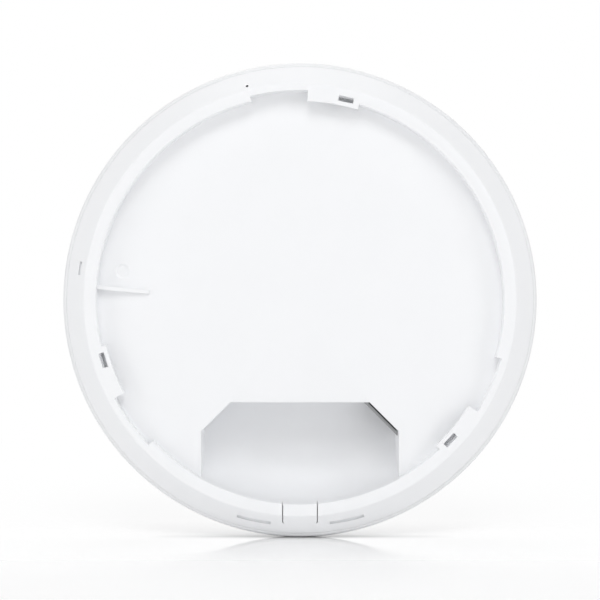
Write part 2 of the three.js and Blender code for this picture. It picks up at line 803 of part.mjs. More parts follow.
function lightBoard() {
  const [lowY, highY] = [lightBoardY, lightBoardY + lightBoardThickness];
  const disc = rod(lightBoardRadius, lowY, highY, 0, 0, ringSegments);
  const holeRadius = lightBoardRadius * lightBoardHoleShare;
  const middle = rod(holeRadius, lowY - overrun, highY + overrun, 0, 0, roundSides);
  const holes = lightPostPlaces.map(([x, z]) => rod(screwHole, lowY - overrun, highY + overrun, x, z));
  return cut(disc, middle, ...holes);
}

function mainBoard() {
  const disc = rod(boardRadius, boardY, boardFrontY, 0, 0, housingSegments);
  const [x, z] = polar(tongueRadius / 2, pinholeAngle);
  const tongue = block(tongueRadius, boardY, boardFrontY, tongueWidth, x, z, -radians(pinholeAngle));
  const bayCut = plate(bayOutline(housingWall + boardBayGap), boardY - overrun, boardFrontY + overrun);
  const holes = bossPlaces.map(([hx, hz]) => rod(screwHole, boardY - overrun, boardFrontY + overrun, hx, hz));
  return cut(disc.add(tongue), bayCut, ...holes);
}

// A pan-head screw driven towards the mounting side, with its head's seat at seatY.
function screw([x, z], seatY, length) {
  const profile = new THREE.Path();
  profile.moveTo(0, -length);
  profile.lineTo(screwShank / 2, -length);
  profile.lineTo(screwShank, screwShank - length);
  profile.lineTo(screwShank, 0);
  profile.lineTo(screwHead, 0);
  profile.lineTo(screwHead, screwHeadHeight - screwHeadCrown);
  profile.lineTo(screwHead / 2, screwHeadHeight);
  profile.lineTo(0, screwHeadHeight);
  const geometry = new THREE.LatheGeometry(profile.getPoints(1), screwSides);
  return solid(geometry.translate(x, seatY, z));
}

// The collar of the socket's shell, mitred to fit between the walls of the bay's corner.
function collar(lowY, highY) {
  const chamferHalf = bayChamfer / Math.SQRT2 - Math.SQRT2 * seatGap;
  const [back, front] = [jackProud - collarThickness, jackProud];
  const shape = new THREE.Shape([
    new THREE.Vector2(-chamferHalf - back, back),
    new THREE.Vector2(chamferHalf + back, back),
    new THREE.Vector2(chamferHalf + front, front),
    new THREE.Vector2(-chamferHalf - front, front),
  ]);
  return plate(shape, lowY, highY);
}

// The socket's own frame: Z out of its mouth, X along the chamfer, Y as the unit's.
function socketGroup() {
  const group = new THREE.Group();
  group.position.set(jackX, 0, jackZ);
  group.rotation.y = jackTurn;
  const highY = jackLowY + jackHeight;
  const middle = jackProud - jackLength / 2;
  const insideWidth = jackWidth - 2 * jackShellWall;
  const skin = block(jackWidth, jackLowY, highY, jackLength, 0, middle);
  const hollow = block(
    insideWidth,
    jackLowY + jackShellWall,
    highY - jackShellWall,
    jackLength,
    0,
    middle + jackShellWall,
  );
  const collared = join(skin, collar(jackLowY - collarRise, highY));
  group.add(piece("jack_shell", cut(collared, hollow), tinned));

  const insertLowY = jackLowY + jackShellWall + seatGap;
  const insertHighY = highY - jackShellWall - seatGap;
  const insertWidth = insideWidth - 2 * seatGap;
  const insertLength = jackLength - 2 * jackShellWall - seatGap;
  const insertFront = jackProud - seatGap;
  const insert = block(insertWidth, insertLowY, insertHighY, insertLength, 0, insertFront - insertLength / 2);
  const cavityMiddle = insertFront + overrun - (plugDepth + overrun) / 2;
  const cavity = (width, lowY, top) => block(width, lowY, top, plugDepth + overrun, 0, cavityMiddle);
  const latches = latchWidths.map((width, i) => {
    return cavity(width, plugLowY - latchStep * (i + 1), plugLowY + latchStep);
  });
  const socket = cut(insert, cavity(plugWidth, plugLowY, plugLowY + plugHeight), ...latches);
  group.add(piece("jack_insert", socket, blackPlastic));

  const roofY = plugLowY + plugHeight - seatGap;
  const backZ = insertFront - plugDepth + seatGap;
  for (let i = 0; i < contactCount; i++) {
    const wire = new THREE.Shape([
      new THREE.Vector2(backZ, roofY),
      new THREE.Vector2(backZ, roofY - contactThickness),
      new THREE.Vector2(backZ + contactLength - contactDip, roofY - contactThickness),
      new THREE.Vector2(backZ + contactDip, roofY - contactDip - contactThickness),
      new THREE.Vector2(backZ + contactDip, roofY - contactDip - 2 * contactThickness),
      new THREE.Vector2(backZ + contactLength, roofY - contactThickness),
      new THREE.Vector2(backZ + contactLength, roofY),
    ]);
    const x = (i - (contactCount - 1) / 2) * contactPitch;
    const geometry = new THREE.ExtrudeGeometry(wire, { depth: contactWidth, bevelEnabled: false });
    geometry.translate(0, 0, -contactWidth / 2).rotateY(-quarterTurn).translate(x, 0, 0);
    group.add(piece(`jack_contact_${i + 1}`, solid(geometry), gold));
  }
  return group;
}

// The switch stands on the back of the board's tongue; its plunger looks at the pinhole.
function resetGroup() {
  const group = new THREE.Group();
  const [x, z] = polar(pinholeRadius, pinholeAngle);
  group.position.set(x, 0, z);
  group.rotation.y = -radians(pinholeAngle);
  const topY = boardY - seatGap;
  const faceY = topY - switchHeight;
  const tipY = faceY - buttonProud;
  const boreRadius = buttonRadius + runningGap;
  const boreEndY = tipY + buttonLength + buttonTravel + runningGap;
  const body = block(switchAcross, faceY, topY, switchWidth);
  const bore = rod(boreRadius, faceY - overrun, boreEndY);
  group.add(piece("reset_switch", cut(body, bore), blackPlastic));
  group.add(piece("reset_button", rod(buttonRadius, tipY, tipY + buttonLength), whitePlastic));
  return group;
}

function shieldCan({ x, z, width, height }) {
  const lowY = boardFrontY + seatGap;
  const highY = lowY + canHeight;
  const skin = block(width, lowY, highY, height, x, z);
  const inside = block(width - 2 * canWall, lowY - overrun, highY - canWall, height - 2 * canWall, x, z);
  const lip = block(width + 2 * canLip, lowY, lowY + canWall, height + 2 * canLip, x, z);
  return cut(skin.add(lip), inside);
}

function thermalPad({ x, z, width, height }) {
  const lowY = boardFrontY + seatGap + canHeight + seatGap;
  return block(width - 2 * padInset, lowY, lowY + padThickness, height - 2 * padInset, x, z);
}

// The heat sink's plate is a disc cut off above the bay and stepped round the socket's corner.
function sinkOutline() {
  const stepZ = sinkBottomZ + sinkStepX - sinkCutX;
  const from = Math.asin(stepZ / sinkRadius);
  const to = Math.PI - Math.asin(sinkBottomZ / sinkRadius);
  const shape = new THREE.Shape();
  shape.moveTo(sinkCutX, sinkBottomZ);
  shape.lineTo(sinkStepX, stepZ);
  shape.absarc(0, 0, sinkRadius, from, to, false);
  shape.closePath();
  return shape;
}

// One straight cast fin with draft, following the plate's edge and stopping short of the blower.
function fin(x) {
  const top = Math.sqrt((sinkRadius - finEdge) ** 2 - x ** 2);
  const besideBlower = Math.abs(x) > blowerHalfWidth + finRoot;
  const alongStep = sinkBottomZ + finEdge + Math.max(0, x - sinkCutX + finEdge);
  const bottom = besideBlower ? Math.max(alongStep, -top) : blowerZ + blowerHalfWidth + finEdge;
  const shape = new THREE.Shape([
    new THREE.Vector2(x - finRoot / 2, sinkFrontY - sinkPlate / 2),
    new THREE.Vector2(x + finRoot / 2, sinkFrontY - sinkPlate / 2),
    new THREE.Vector2(x + finTip / 2, sinkFrontY + finHeight),
    new THREE.Vector2(x - finTip / 2, sinkFrontY + finHeight),
  ]);
  const geometry = new THREE.ExtrudeGeometry(shape, { depth: top - bottom, bevelEnabled: false });
  return solid(geometry.translate(0, 0, bottom));
}

const blowerScrewPlaces = [
  [-blowerScrewPlace, blowerScrewPlace],
  [-blowerScrewPlace, -blowerScrewPlace],
  [blowerScrewPlace, -blowerScrewPlace],
];

function heatSink() {
  const base = plate(sinkOutline(), sinkY, sinkFrontY, sinkArcSteps);
  const fins = Array.from({ length: finCount }, (_, i) => fin((i - (finCount - 1) / 2) * finPitch));
  const feet = sinkScrewPlaces.map(([x, z]) => rod(sinkFootRadius, boardFrontY + seatGap, sinkFrontY, x, z));
  const wellTopY = sinkFrontY + finHeight + overrun;
  const wells = sinkScrewPlaces.map(([x, z]) => rod(sinkScrewClear, sinkFrontY, wellTopY, x, z));
  const holes = sinkScrewPlaces.map(([x, z]) => rod(screwHole, boardFrontY, sinkFrontY + overrun, x, z));
  const threads = blowerScrewPlaces.map(([x, z]) => rod(bossBore, sinkY - overrun, blowerY, x, z + blowerZ));
  return cut(join(base, ...fins, ...feet), ...wells, ...holes, ...threads);
}

// The blower's scroll: a spiral round the impeller that runs out upwards.
function scroll() {
  const points = Array.from({ length: voluteSteps + 1 }, (_, i) => {
    const share = i / voluteSteps;
    const widening = THREE.MathUtils.lerp(blowerShares.voluteStart, blowerShares.voluteEnd, share);
    return new THREE.Vector2(...polar(blowerHalfWidth * widening, voluteFrom + (360 - voluteFrom) * share));
  });
  const mouthZ = blowerHalfWidth + overrun;
  points.push(new THREE.Vector2(points.at(-1).x, mouthZ), new THREE.Vector2(points[0].x, mouthZ));
  return new THREE.Shape(points);
}

function blowerGroup() {
  const group = new THREE.Group();
  group.position.z = blowerZ;
  const floorY = blowerY + blowerFloor;
  const rimTopY = blowerY + blowerDepth;
  const coverY = rimTopY + seatGap;
  const coverTopY = coverY + blowerCoverWall;
  const outline = roundedSquare(blowerHalfWidth, blowerCornerRadius);
  const bearingRadius = shaftRadius + runningGap + bearingWall;
  const bearingTopY = floorY + statorHeight + impellerHubWall / 2;
  const bore = rod(shaftRadius + runningGap, floorY, rimTopY);
  const holes = (low, high) => {
    return blowerScrewPlaces.map(([x, z]) => rod(screwHole, low - overrun, high + overrun, x, z));
  };

  const tray = cut(plate(outline, blowerY, rimTopY, cornerSteps), plate(scroll(), floorY, rimTopY + overrun));
  const bearing = rod(bearingRadius, blowerY + blowerFloor / 2, bearingTopY);
  const base = cut(join(tray, bearing), bore, ...holes(blowerY, rimTopY));
  group.add(piece("blower_base", base, blackPlastic));

  const lid = plate(outline, coverY, coverTopY, cornerSteps);
  const inletRadius = blowerHalfWidth * blowerShares.inlet;
  const inlet = rod(inletRadius, coverY - overrun, coverTopY + overrun, 0, 0, impellerSides);
  group.add(piece("blower_cover", cut(lid, inlet, ...holes(coverY, coverTopY)), blackPlastic));

  const statorY = floorY + seatGap;
  const statorTopY = statorY + statorHeight;
  const core = rod(statorCore, statorY, statorTopY, 0, 0, roundSides);
  const shoeRing = cut(
    rod(statorRadius, statorY, statorTopY, 0, 0, roundSides),
    rod(statorRadius - impellerHubWall, statorY - overrun, rimTopY, 0, 0, roundSides),
  );
  const poles = Array.from({ length: statorPoles }, (_, i) => {
    const turn = (360 * i) / statorPoles;
    const [x, z] = polar(statorRadius / 2, turn);
    const arm = block(statorRadius - seatGap, statorY, statorTopY, statorPoleWidth, x, z, -radians(turn));
    const [from, to] = [turn - statorShoeAngle, turn + statorShoeAngle];
    return arm.add(shoeRing.intersect(sector(statorCore, impellerHub, from, to, blowerY, rimTopY)));
  });
  const statorBore = rod(bearingRadius + seatGap, blowerY, rimTopY);
  group.add(piece("blower_stator", cut(join(core, ...poles), statorBore), coilCopper));

  const wheelLowY = floorY + seatGap;
  const wheelTopY = rimTopY - impellerTopGap;
  const hubRoofY = wheelTopY - impellerHubWall;
  const cup = rod(impellerHub, wheelLowY, wheelTopY, 0, 0, impellerSides);
  const cupInside = rod(impellerHub - impellerHubWall, wheelLowY - overrun, hubRoofY, 0, 0, impellerSides);
  const shaft = rod(shaftRadius, floorY + runningGap, hubRoofY + impellerHubWall / 2);
  const web = cut(
    rod(impellerRadius, wheelLowY, wheelLowY + impellerWeb, 0, 0, impellerSides),
    rod(impellerHub - impellerHubWall / 2, wheelLowY - overrun, wheelTopY, 0, 0, impellerSides),
  );
  const blades = Array.from({ length: bladeCount }, (_, i) => {
    return blade((360 * i) / bladeCount, wheelLowY, wheelTopY);
  });
  group.add(piece("blower_impeller", join(cut(cup, cupInside), shaft, web, ...blades), blackPlastic));

  blowerScrewPlaces.forEach((place, i) => {
    const length = coverTopY - sinkFrontY + sinkPlate / 2;
    group.add(piece(`blower_screw_${i + 1}`, screw(place, coverTopY + seatGap, length), screwSteel));
  });
  return group;
}

// A backward-swept blade between the inlet's edge and the wheel's rim.
function blade(angle, lowY, highY) {
  const start = new THREE.Vector2(...polar(bladeRootRadius, angle));
  const bend = new THREE.Vector2(...polar((bladeRootRadius + impellerRadius) / 2, angle - bladeSweep / 3));
  const end = new THREE.Vector2(...polar(impellerRadius - bladeThickness / 2, angle - bladeSweep));
  const curve = new THREE.QuadraticBezierCurve(start, bend, end);
  return plate(strip(curve, bladeThickness, bladeSteps), lowY, highY);
}

// An inverted-F antenna stamped from sheet, standing on the board's edge.
function antenna(angle) {
  const lowY = boardFrontY + seatGap;
  const highY = lowY + antennaHeight;
  const half = (boardRadius * antennaLengthShare) / 2;
  const underArm = highY - antennaArm;
  const shape = new THREE.Shape([
    new THREE.Vector2(-half, lowY),
    new THREE.Vector2(-half + antennaLeg, lowY),
    new THREE.Vector2(-half + antennaLeg, underArm),
    new THREE.Vector2(-half + 2 * antennaLeg, underArm),
    new THREE.Vector2(-half + 2 * antennaLeg, lowY),
    new THREE.Vector2(-half + 3 * antennaLeg, lowY),
    new THREE.Vector2(-half + 3 * antennaLeg, underArm),
    new THREE.Vector2(half, underArm),
    new THREE.Vector2(half, highY),
    new THREE.Vector2(-half, highY),
  ]);
  const geometry = new THREE.ExtrudeGeometry(shape, { depth: antennaSheet, bevelEnabled: false });
  geometry.translate(0, 0, -antennaSheet / 2).rotateY(quarterTurn - radians(angle));
  const [x, z] = polar(antennaRadius, angle);
  return solid(geometry.translate(x, 0, z));
}

function capacitor([x, z]) {
  const profile = new THREE.Path();
  const crimpY = 2 * capacitorCrimp;
  profile.moveTo(0, 0);
  profile.lineTo(capacitorRadius, 0);
  profile.lineTo(capacitorRadius, crimpY);
  profile.lineTo(capacitorRadius - capacitorCrimp, 2 * crimpY);
  profile.lineTo(capacitorRadius, 3 * crimpY);
  profile.lineTo(capacitorRadius, capacitorHeight - capacitorCrimp);
  profile.lineTo(capacitorRadius - capacitorCrimp, capacitorHeight);
  profile.lineTo(0, capacitorHeight);
  const geometry = new THREE.LatheGeometry(profile.getPoints(1), roundSides);
  return solid(geometry.translate(x, boardFrontY + seatGap, z));
}

// A drum core: two flanges with the winding drawn in between them.
function inductor() {
  const flange = inductorHeight * inductorFlangeShare;
  const waist = inductorRadius - flange / 2;
  const profile = new THREE.Path();
  profile.moveTo(0, 0);
  profile.lineTo(inductorRadius, 0);
  profile.lineTo(inductorRadius, flange);
  profile.lineTo(waist, flange);
  profile.lineTo(waist, inductorHeight - flange);
  profile.lineTo(inductorRadius, inductorHeight - flange);
  profile.lineTo(inductorRadius, inductorHeight);
  profile.lineTo(0, inductorHeight);
  const geometry = new THREE.LatheGeometry(profile.getPoints(1), roundSides);
  const [x, z] = polar(boardRadius * inductorPlaceShare, inductorAngle);
  return solid(geometry.translate(x, boardFrontY + seatGap, z));
}

// A core of two E halves round a bobbin that stands proud on both sides.
function powerTransformer() {
  const side = boardRadius * powerTransformerSideShare;
  const lowY = boardFrontY + seatGap;
  const highY = lowY + powerTransformerHeight;
  const step = powerTransformerHeight * powerTransformerStepShare;
  const narrow = side * powerTransformerCoreShare;
  const [x, z] = polar(boardRadius * powerTransformerPlaceShare, powerTransformerAngle);
  return join(block(side, lowY + step, highY, narrow, x, z), block(narrow, lowY, highY - step, side, x, z));
}

function lanTransformer() {
  const lowY = boardFrontY + seatGap;
  const highY = lowY + lanTransformerHeight;
  const [x, z] = polar(boardRadius * lanTransformerPlaceShare, lanTransformerAngle);
  const width = boardRadius * lanTransformerWidthShare;
  const length = boardRadius * lanTransformerLengthShare;
  return block(width, lowY, highY, length, x, z);
}

function led(i) {
  const angle = (360 * i) / ledCount;
  const [x, z] = polar(ringRadius, angle);
  const lowY = lightBoardY + lightBoardThickness + seatGap;
  return block(ledAcross, lowY, lowY + ledHeight, ledWidth, x, z, -radians(angle));
}

// The flat lead in its bent form: under the light board, over the fins, and down into its socket.
const ribbonDropZ = sinkRadius + ribbonDrop;

function ledRibbon() {
  const startY = lightBoardY - seatGap - ribbonThickness;
  const endY = boardFrontY + 2 * seatGap + ribbonSocketFloor;
  const curve = new THREE.SplineCurve([
    new THREE.Vector2(ringRadius - ribbonTuck, startY),
    new THREE.Vector2(lightBoardRadius, startY - ribbonThickness / 2),
    new THREE.Vector2(sinkRadius - ribbonDrop, sinkFrontY + finHeight + ribbonRise),
    new THREE.Vector2(ribbonDropZ - ribbonThickness, sinkFrontY + finHeight - ribbonRise / 2),
    new THREE.Vector2(ribbonDropZ, sinkFrontY),
    new THREE.Vector2(ribbonDropZ, endY),
  ]);
  return acrossX(strip(curve, ribbonThickness, ribbonSteps), ribbonWidth);
}

function ribbonSocket() {
  const lowY = boardFrontY + seatGap;
  const highY = lowY + ribbonSocketHeight;
  const body = block(ribbonSocketWidth, lowY, highY, ribbonSocketAcross, 0, ribbonDropZ);
  const slotWidth = ribbonWidth + 2 * runningGap;
  const slotAcross = ribbonThickness + 2 * runningGap;
  return cut(body, block(slotWidth, lowY + ribbonSocketFloor, highY + overrun, slotAcross, 0, ribbonDropZ));
}

// The blower's round lead runs between the fins' ends and the plate's lower edge, then down beside it.
function blowerLead() {
  const laneY = sinkFrontY + seatGap + leadRadius;
  const laneZ = sinkBottomZ + finEdge / 2;
  const edgeX = -Math.sqrt(sinkRadius ** 2 - laneZ ** 2);
  const path = new THREE.CatmullRomCurve3([
    new THREE.Vector3(leadStartX, laneY, blowerZ - blowerHalfWidth - runningGap),
    new THREE.Vector3(leadStartX, laneY, laneZ + finEdge / 2),
    new THREE.Vector3(leadStartX - finEdge, laneY, laneZ),
    new THREE.Vector3(edgeX - leadRadius, laneY + leadRadius / 2, laneZ),
    new THREE.Vector3(edgeX - leadDrop, (laneY + boardFrontY) / 2, laneZ),
    new THREE.Vector3(edgeX - leadDrop, boardFrontY + runningGap, laneZ),
  ]);
  const section = Array.from({ length: leadSides }, (_, i) => {
    return new THREE.Vector2(...polar(leadRadius, (360 * i) / leadSides));
  });
  const options = { steps: leadSteps, extrudePath: path, bevelEnabled: false };
  return solid(new THREE.ExtrudeGeometry(new THREE.Shape(section), options));
}

// Assembly.
const accessPoint = new THREE.Group();
const add = (name, body, material) => accessPoint.add(piece(name, body, material));

add("rear_housing", rearHousing(), whitePlastic);
add("front_dome", frontDome(), domePlastic);
add("light_ring", lightRing(), lensWhite);
add("light_guide", lightGuide(), clearAcrylic);
add("led_board", lightBoard(), boardGreen);
for (let i = 0; i < ledCount; i++) add(`status_led_${i + 1}`, led(i), ledYellow);

add("main_board", mainBoard(), boardGreen);
boardScrewPlaces.forEach((place, i) => {
  const length = boardFrontY + seatGap - housingWall - overrun;
  add(`board_screw_${i + 1}`, screw(place, boardFrontY + seatGap, length), screwSteel);
});
accessPoint.add(socketGroup(), resetGroup());

shieldCans.forEach((can, i) => {
  add(`shield_can_${i + 1}`, shieldCan(can), tinned);
  add(`thermal_pad_${i + 1}`, thermalPad(can), padGrey);
});
add("heat_sink", heatSink(), castAluminium);
sinkScrewPlaces.forEach((place, i) => {
  const length = sinkFrontY + seatGap - housingWall - overrun;
  add(`heat_sink_screw_${i + 1}`, screw(place, sinkFrontY + seatGap, length), screwSteel);
});
accessPoint.add(blowerGroup());

antennaAngles.forEach((angle, i) => add(`antenna_${i + 1}`, antenna(angle), tinned));
capacitorAngles.forEach((angle, i) => {
  const place = polar(boardRadius * capacitorShares[i], angle);
  add(`capacitor_${i + 1}`, capacitor(place), capacitorSkin);
});
add("power_inductor", inductor(), coilCopper);
add("power_transformer", powerTransformer(), ferrite);
add("lan_transformer", lanTransformer(), blackPlastic);
add("led_ribbon", ledRibbon(), ribbonFilm);
add("ribbon_socket", ribbonSocket(), ribbonFilm);
add("blower_lead", blowerLead(), leadJacket);

export default accessPoint;
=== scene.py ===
import math

import bmesh
import bpy
from mathutils import Matrix, Vector


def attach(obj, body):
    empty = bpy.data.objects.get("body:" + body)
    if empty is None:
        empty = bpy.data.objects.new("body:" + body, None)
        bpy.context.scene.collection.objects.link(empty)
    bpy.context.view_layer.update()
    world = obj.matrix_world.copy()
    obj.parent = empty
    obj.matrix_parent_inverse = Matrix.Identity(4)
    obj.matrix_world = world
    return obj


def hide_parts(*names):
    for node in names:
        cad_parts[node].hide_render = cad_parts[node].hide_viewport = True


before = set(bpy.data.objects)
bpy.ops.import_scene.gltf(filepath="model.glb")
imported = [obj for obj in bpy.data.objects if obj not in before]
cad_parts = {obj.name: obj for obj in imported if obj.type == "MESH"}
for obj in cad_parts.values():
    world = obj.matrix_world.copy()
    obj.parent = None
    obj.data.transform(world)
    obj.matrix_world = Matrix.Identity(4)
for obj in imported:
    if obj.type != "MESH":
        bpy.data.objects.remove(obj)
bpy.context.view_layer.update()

# The camera looks straight along the unit's axis at the mounting side, from the height of its centre.
# Its distance and its field of view are worked out from the outline in a square picture.
mm = 0.001
camera_distance = 656 * mm
dome_widest_y = 8 * mm
dome_radius = 103 * mm
outline_share = 473 / 600

camera_data = bpy.data.cameras.new("camera")
camera = bpy.data.objects.new("camera", camera_data)
bpy.context.scene.collection.objects.link(camera)
camera.location = (0, -camera_distance, 0)
camera.rotation_euler = (math.pi / 2, 0, 0)
half_view = dome_radius / outline_share / (camera_distance + dome_widest_y)
camera_data.angle = 2 * math.atan(half_view)
bpy.context.scene.camera = camera


# The rear housing is one injection moulding in matte white plastic. It is built as its mould is cut:
# a turned shell, then the cable bay, the bayonet stations, and the small slots of the slope.
dome_edge_radius = 101.2 * mm
slope_radius = 100.9 * mm
rim_radius = 92.3 * mm
recess_radius = 87.1 * mm
recess_depth = 6 * mm
slope_depth = 10 * mm
housing_wall = 2 * mm
lip_radius = 98.9 * mm
lip_wall = 1.4 * mm
lip_height = 4.5 * mm
rim_round = 0.5 * mm
rim_outer_round = 0.7 * mm
overrun = 1 * mm
turned_segments = 240
full_turn = 2 * math.pi
weld_distance = 0.001 * mm
rim_y = -recess_depth
slope_end_y = rim_y + slope_depth
slope_rise = slope_depth / (slope_radius - rim_radius)
wall_across_slope = housing_wall * math.hypot(1, slope_rise)


def add_node(tree, kind, inputs=None, **settings):
    """Adds a node, sets its options, and sets or links its inputs."""
    node = tree.nodes.new(kind)
    for name, value in settings.items():
        setattr(node, name, value)
    for name, value in (inputs or {}).items():
        if isinstance(value, bpy.types.NodeSocket):
            tree.links.new(value, node.inputs[name])
        else:
            node.inputs[name].default_value = value
    return node


def maths(tree, operation, first, second=0.0):
    """The result of a Math node."""
    return add_node(tree, "ShaderNodeMath", {0: first, 1: second}, operation=operation).outputs[0]


def ranged(tree, value, low, high, from_low=0.0, from_high=1.0, **settings):
    """A value taken from one range to another, and held within it."""
    inputs = {"Value": value, "From Min": from_low, "From Max": from_high, "To Min": low, "To Max": high}
    return add_node(tree, "ShaderNodeMapRange", inputs, **settings).outputs[0]


def new_group(name, kind, inputs, outputs):
    """A node group with named sockets, returned with the sockets of its two ends."""
    tree = bpy.data.node_groups.new(name, kind)
    for way, sockets in (("INPUT", inputs), ("OUTPUT", outputs)):
        for socket, sort in sockets.items():
            tree.interface.new_socket(socket, in_out=way, socket_type="NodeSocket" + sort)
    return tree, tree.nodes.new("NodeGroupInput").outputs, tree.nodes.new("NodeGroupOutput").inputs


def put_out(tree, geometry, material, out):
    """Ends a Geometry Nodes tree with plain geometry in its material."""
    real = add_node(tree, "GeometryNodeRealizeInstances", {"Geometry": geometry})
    painted = add_node(tree, "GeometryNodeSetMaterial", {"Geometry": real.outputs[0], "Material": material})
    tree.links.new(painted.outputs[0], out["Body"])


def turning_tree():
    """Turns a profile of radius and Y about the unit's axis."""
    inputs = {"Profile": "Geometry", "Segments": "Int", "Material": "Material"}
    tree, given, out = new_group("turned about the axis", "GeometryNodeTree", inputs, {"Body": "Geometry"})
    profile, segments = given["Profile"], given["Segments"]
    rows = add_node(tree, "GeometryNodeAttributeDomainSize", {"Geometry": profile}).outputs["Point Count"]
    columns = maths(tree, "ADD", segments, 1.0)
    grid = add_node(tree, "GeometryNodeMeshGrid", {"Vertices X": columns, "Vertices Y": rows})
    index = tree.nodes.new("GeometryNodeInputIndex").outputs[0]
    row = maths(tree, "MODULO", index, rows)
    column = maths(tree, "FLOOR", maths(tree, "DIVIDE", index, rows))
    angle = maths(tree, "MULTIPLY", maths(tree, "DIVIDE", column, segments), full_turn)
    position = tree.nodes.new("GeometryNodeInputPosition").outputs[0]
    sample = add_node(tree, "GeometryNodeSampleIndex", {"Geometry": profile}, data_type="FLOAT_VECTOR")
    tree.links.new(position, sample.inputs["Value"])
    tree.links.new(row, sample.inputs["Index"])
    point = add_node(tree, "ShaderNodeSeparateXYZ", {0: sample.outputs["Value"]}).outputs
    x = maths(tree, "MULTIPLY", point["X"], maths(tree, "COSINE", angle))
    z = maths(tree, "MULTIPLY", point["X"], maths(tree, "SINE", angle))
    place = add_node(tree, "ShaderNodeCombineXYZ", {"X": x, "Y": point["Y"], "Z": z}).outputs[0]
    bent = add_node(tree, "GeometryNodeSetPosition", {"Geometry": grid.outputs["Mesh"], "Position": place})
    welded = {"Geometry": bent.outputs[0], "Distance": weld_distance}
    closed = add_node(tree, "GeometryNodeMergeByDistance", welded)
    put_out(tree, closed.outputs[0], given["Material"], out)
    return tree


def new_object(name, mesh):
    made = bpy.data.objects.new(name, mesh)
    bpy.context.scene.collection.objects.link(made)
    return made


def settle(made):
    """Turns an object's modifiers into its plain mesh."""
    depsgraph = bpy.context.evaluated_depsgraph_get()
    mesh = bpy.data.meshes.new_from_object(made.evaluated_get(depsgraph))
    made.modifiers.clear()
    made.data = mesh
    return made


def run_tree(made, tree, values):
    """Runs a Geometry Nodes tree on an object with named inputs, and keeps the plain mesh."""
    modifier = made.modifiers.new("tree", "NODES")
    modifier.node_group = tree
    for item in tree.interface.items_tree:
        if item.in_out == "INPUT" and item.name in values:
            modifier[item.identifier] = values[item.name]
    return settle(made)


def face_outwards(mesh):
    work = bmesh.new()
    work.from_mesh(mesh)
    bmesh.ops.recalc_face_normals(work, faces=work.faces)
    work.to_mesh(mesh)
    work.free()


turning = turning_tree()


def turned(name, profile, segments=turned_segments):
    """A closed body turned from a profile whose points are radius and Y."""
    line = bpy.data.meshes.new(name)
    edges = [(i, i + 1) for i in range(len(profile) - 1)]
    line.from_pydata([(radius, y, 0) for radius, y in profile], edges, [])
    made = run_tree(new_object(name, line), turning, {"Segments": segments})
    face_outwards(made.data)
    return made


def arc(centre_radius, centre_y, radius, from_angle, to_angle, steps):
    """Points of an arc in the plane of radius and Y, its angles in degrees."""
    angles = [math.radians(from_angle + (to_angle - from_angle) * i / steps) for i in range(steps + 1)]
    return [(centre_radius + radius * math.cos(a), centre_y + radius * math.sin(a)) for a in angles]


def bend(before, corner, after, steps):
    """Points of a quadratic curve that rounds a corner."""
    shares = [i / steps for i in range(steps + 1)]
    return [
        tuple((1 - t) ** 2 * a + 2 * t * (1 - t) * b + t * t * c for a, b, c in zip(before, corner, after))
        for t in shares
    ]


def polar(radius, degrees):
    return radius * math.cos(math.radians(degrees)), radius * math.sin(math.radians(degrees))


def joined_loops(name, low, high, matrix=None):
    """A closed body between two loops of points with as many corners each, moved by a matrix."""
    count = len(low)
    ends = [range(count), range(2 * count - 1, count - 1, -1)]
    sides = [(i, count + i, count + (i + 1) % count, (i + 1) % count) for i in range(count)]
    mesh = bpy.data.meshes.new(name)
    mesh.from_pydata(low + high, [], ends + sides)
    face_outwards(mesh)
    mesh.transform(matrix or Matrix())
    return new_object(name, mesh)


def prism(name, outline, low_y, high_y):
    """A closed plate from an outline in X and Z."""
    low, high = [[(x, y, z) for x, z in outline] for y in (low_y, high_y)]
    return joined_loops(name, low, high)


def sector(inner, outer, from_angle, to_angle, low_y, high_y, step=1.5):
    steps = max(2, math.ceil((to_angle - from_angle) / step))
    angles = [from_angle + (to_angle - from_angle) * i / steps for i in range(steps + 1)]
    outline = [polar(outer, a) for a in angles] + [polar(inner, a) for a in reversed(angles)]
    return prism("sector", outline, low_y, high_y)


def block(width, low_y, high_y, length, x=0.0, z=0.0, degrees=0.0):
    """A block whose sides are turned in the plane of X and Z, counted from X towards Z."""
    along = Vector(polar(1, degrees))
    across = Vector((-along.y, along.x))
    corners = [(1, 1), (-1, 1), (-1, -1), (1, -1)]
    outline = [Vector((x, z)) + along * (a * width / 2) + across * (b * length / 2) for a, b in corners]
    return prism("block", outline, low_y, high_y)


def rod(radius, low_y, high_y, x=0.0, z=0.0, sides=32):
    corners = [polar(radius, 360 * i / sides) for i in range(sides)]
    return prism("rod", [(x + across, z + up) for across, up in corners], low_y, high_y)


def combine(body, tools, operation):
    """Joins tools to a body or cuts them from it, and removes them."""
    for tool in tools:
        modifier = body.modifiers.new("tool", "BOOLEAN")
        modifier.operation = operation
        modifier.solver = "MANIFOLD"
        modifier.object = tool
        settle(body)
        bpy.data.objects.remove(tool)
    return body


bay_half_width = 0.488 * recess_radius
bay_top_z = -0.506 * recess_radius
bay_chamfer = 0.144 * recess_radius
bay_flat_radius = 0.804 * recess_radius
bay_depth = 24 * mm
bay_curve_end_y = bay_depth / 8
bay_edge = 0.2 * mm
lead_in_width = 3 * mm
lead_in_depth = 0.5 * mm
bay_steps = 24


def bay_outline(grow):
    """The bay's outline seen from the mounting side, grown by a wall; its bottom lies beyond the rim."""
    shift = grow * math.tan(math.pi / 8)
    side, top = bay_half_width + grow, bay_top_z + grow
    flat, shoulder = bay_half_width - bay_chamfer + shift, bay_top_z - bay_chamfer + shift
    bottom = -dome_radius
    return [(-side, bottom), (side, bottom), (side, shoulder), (flat, top), (-flat, top), (-side, shoulder)]


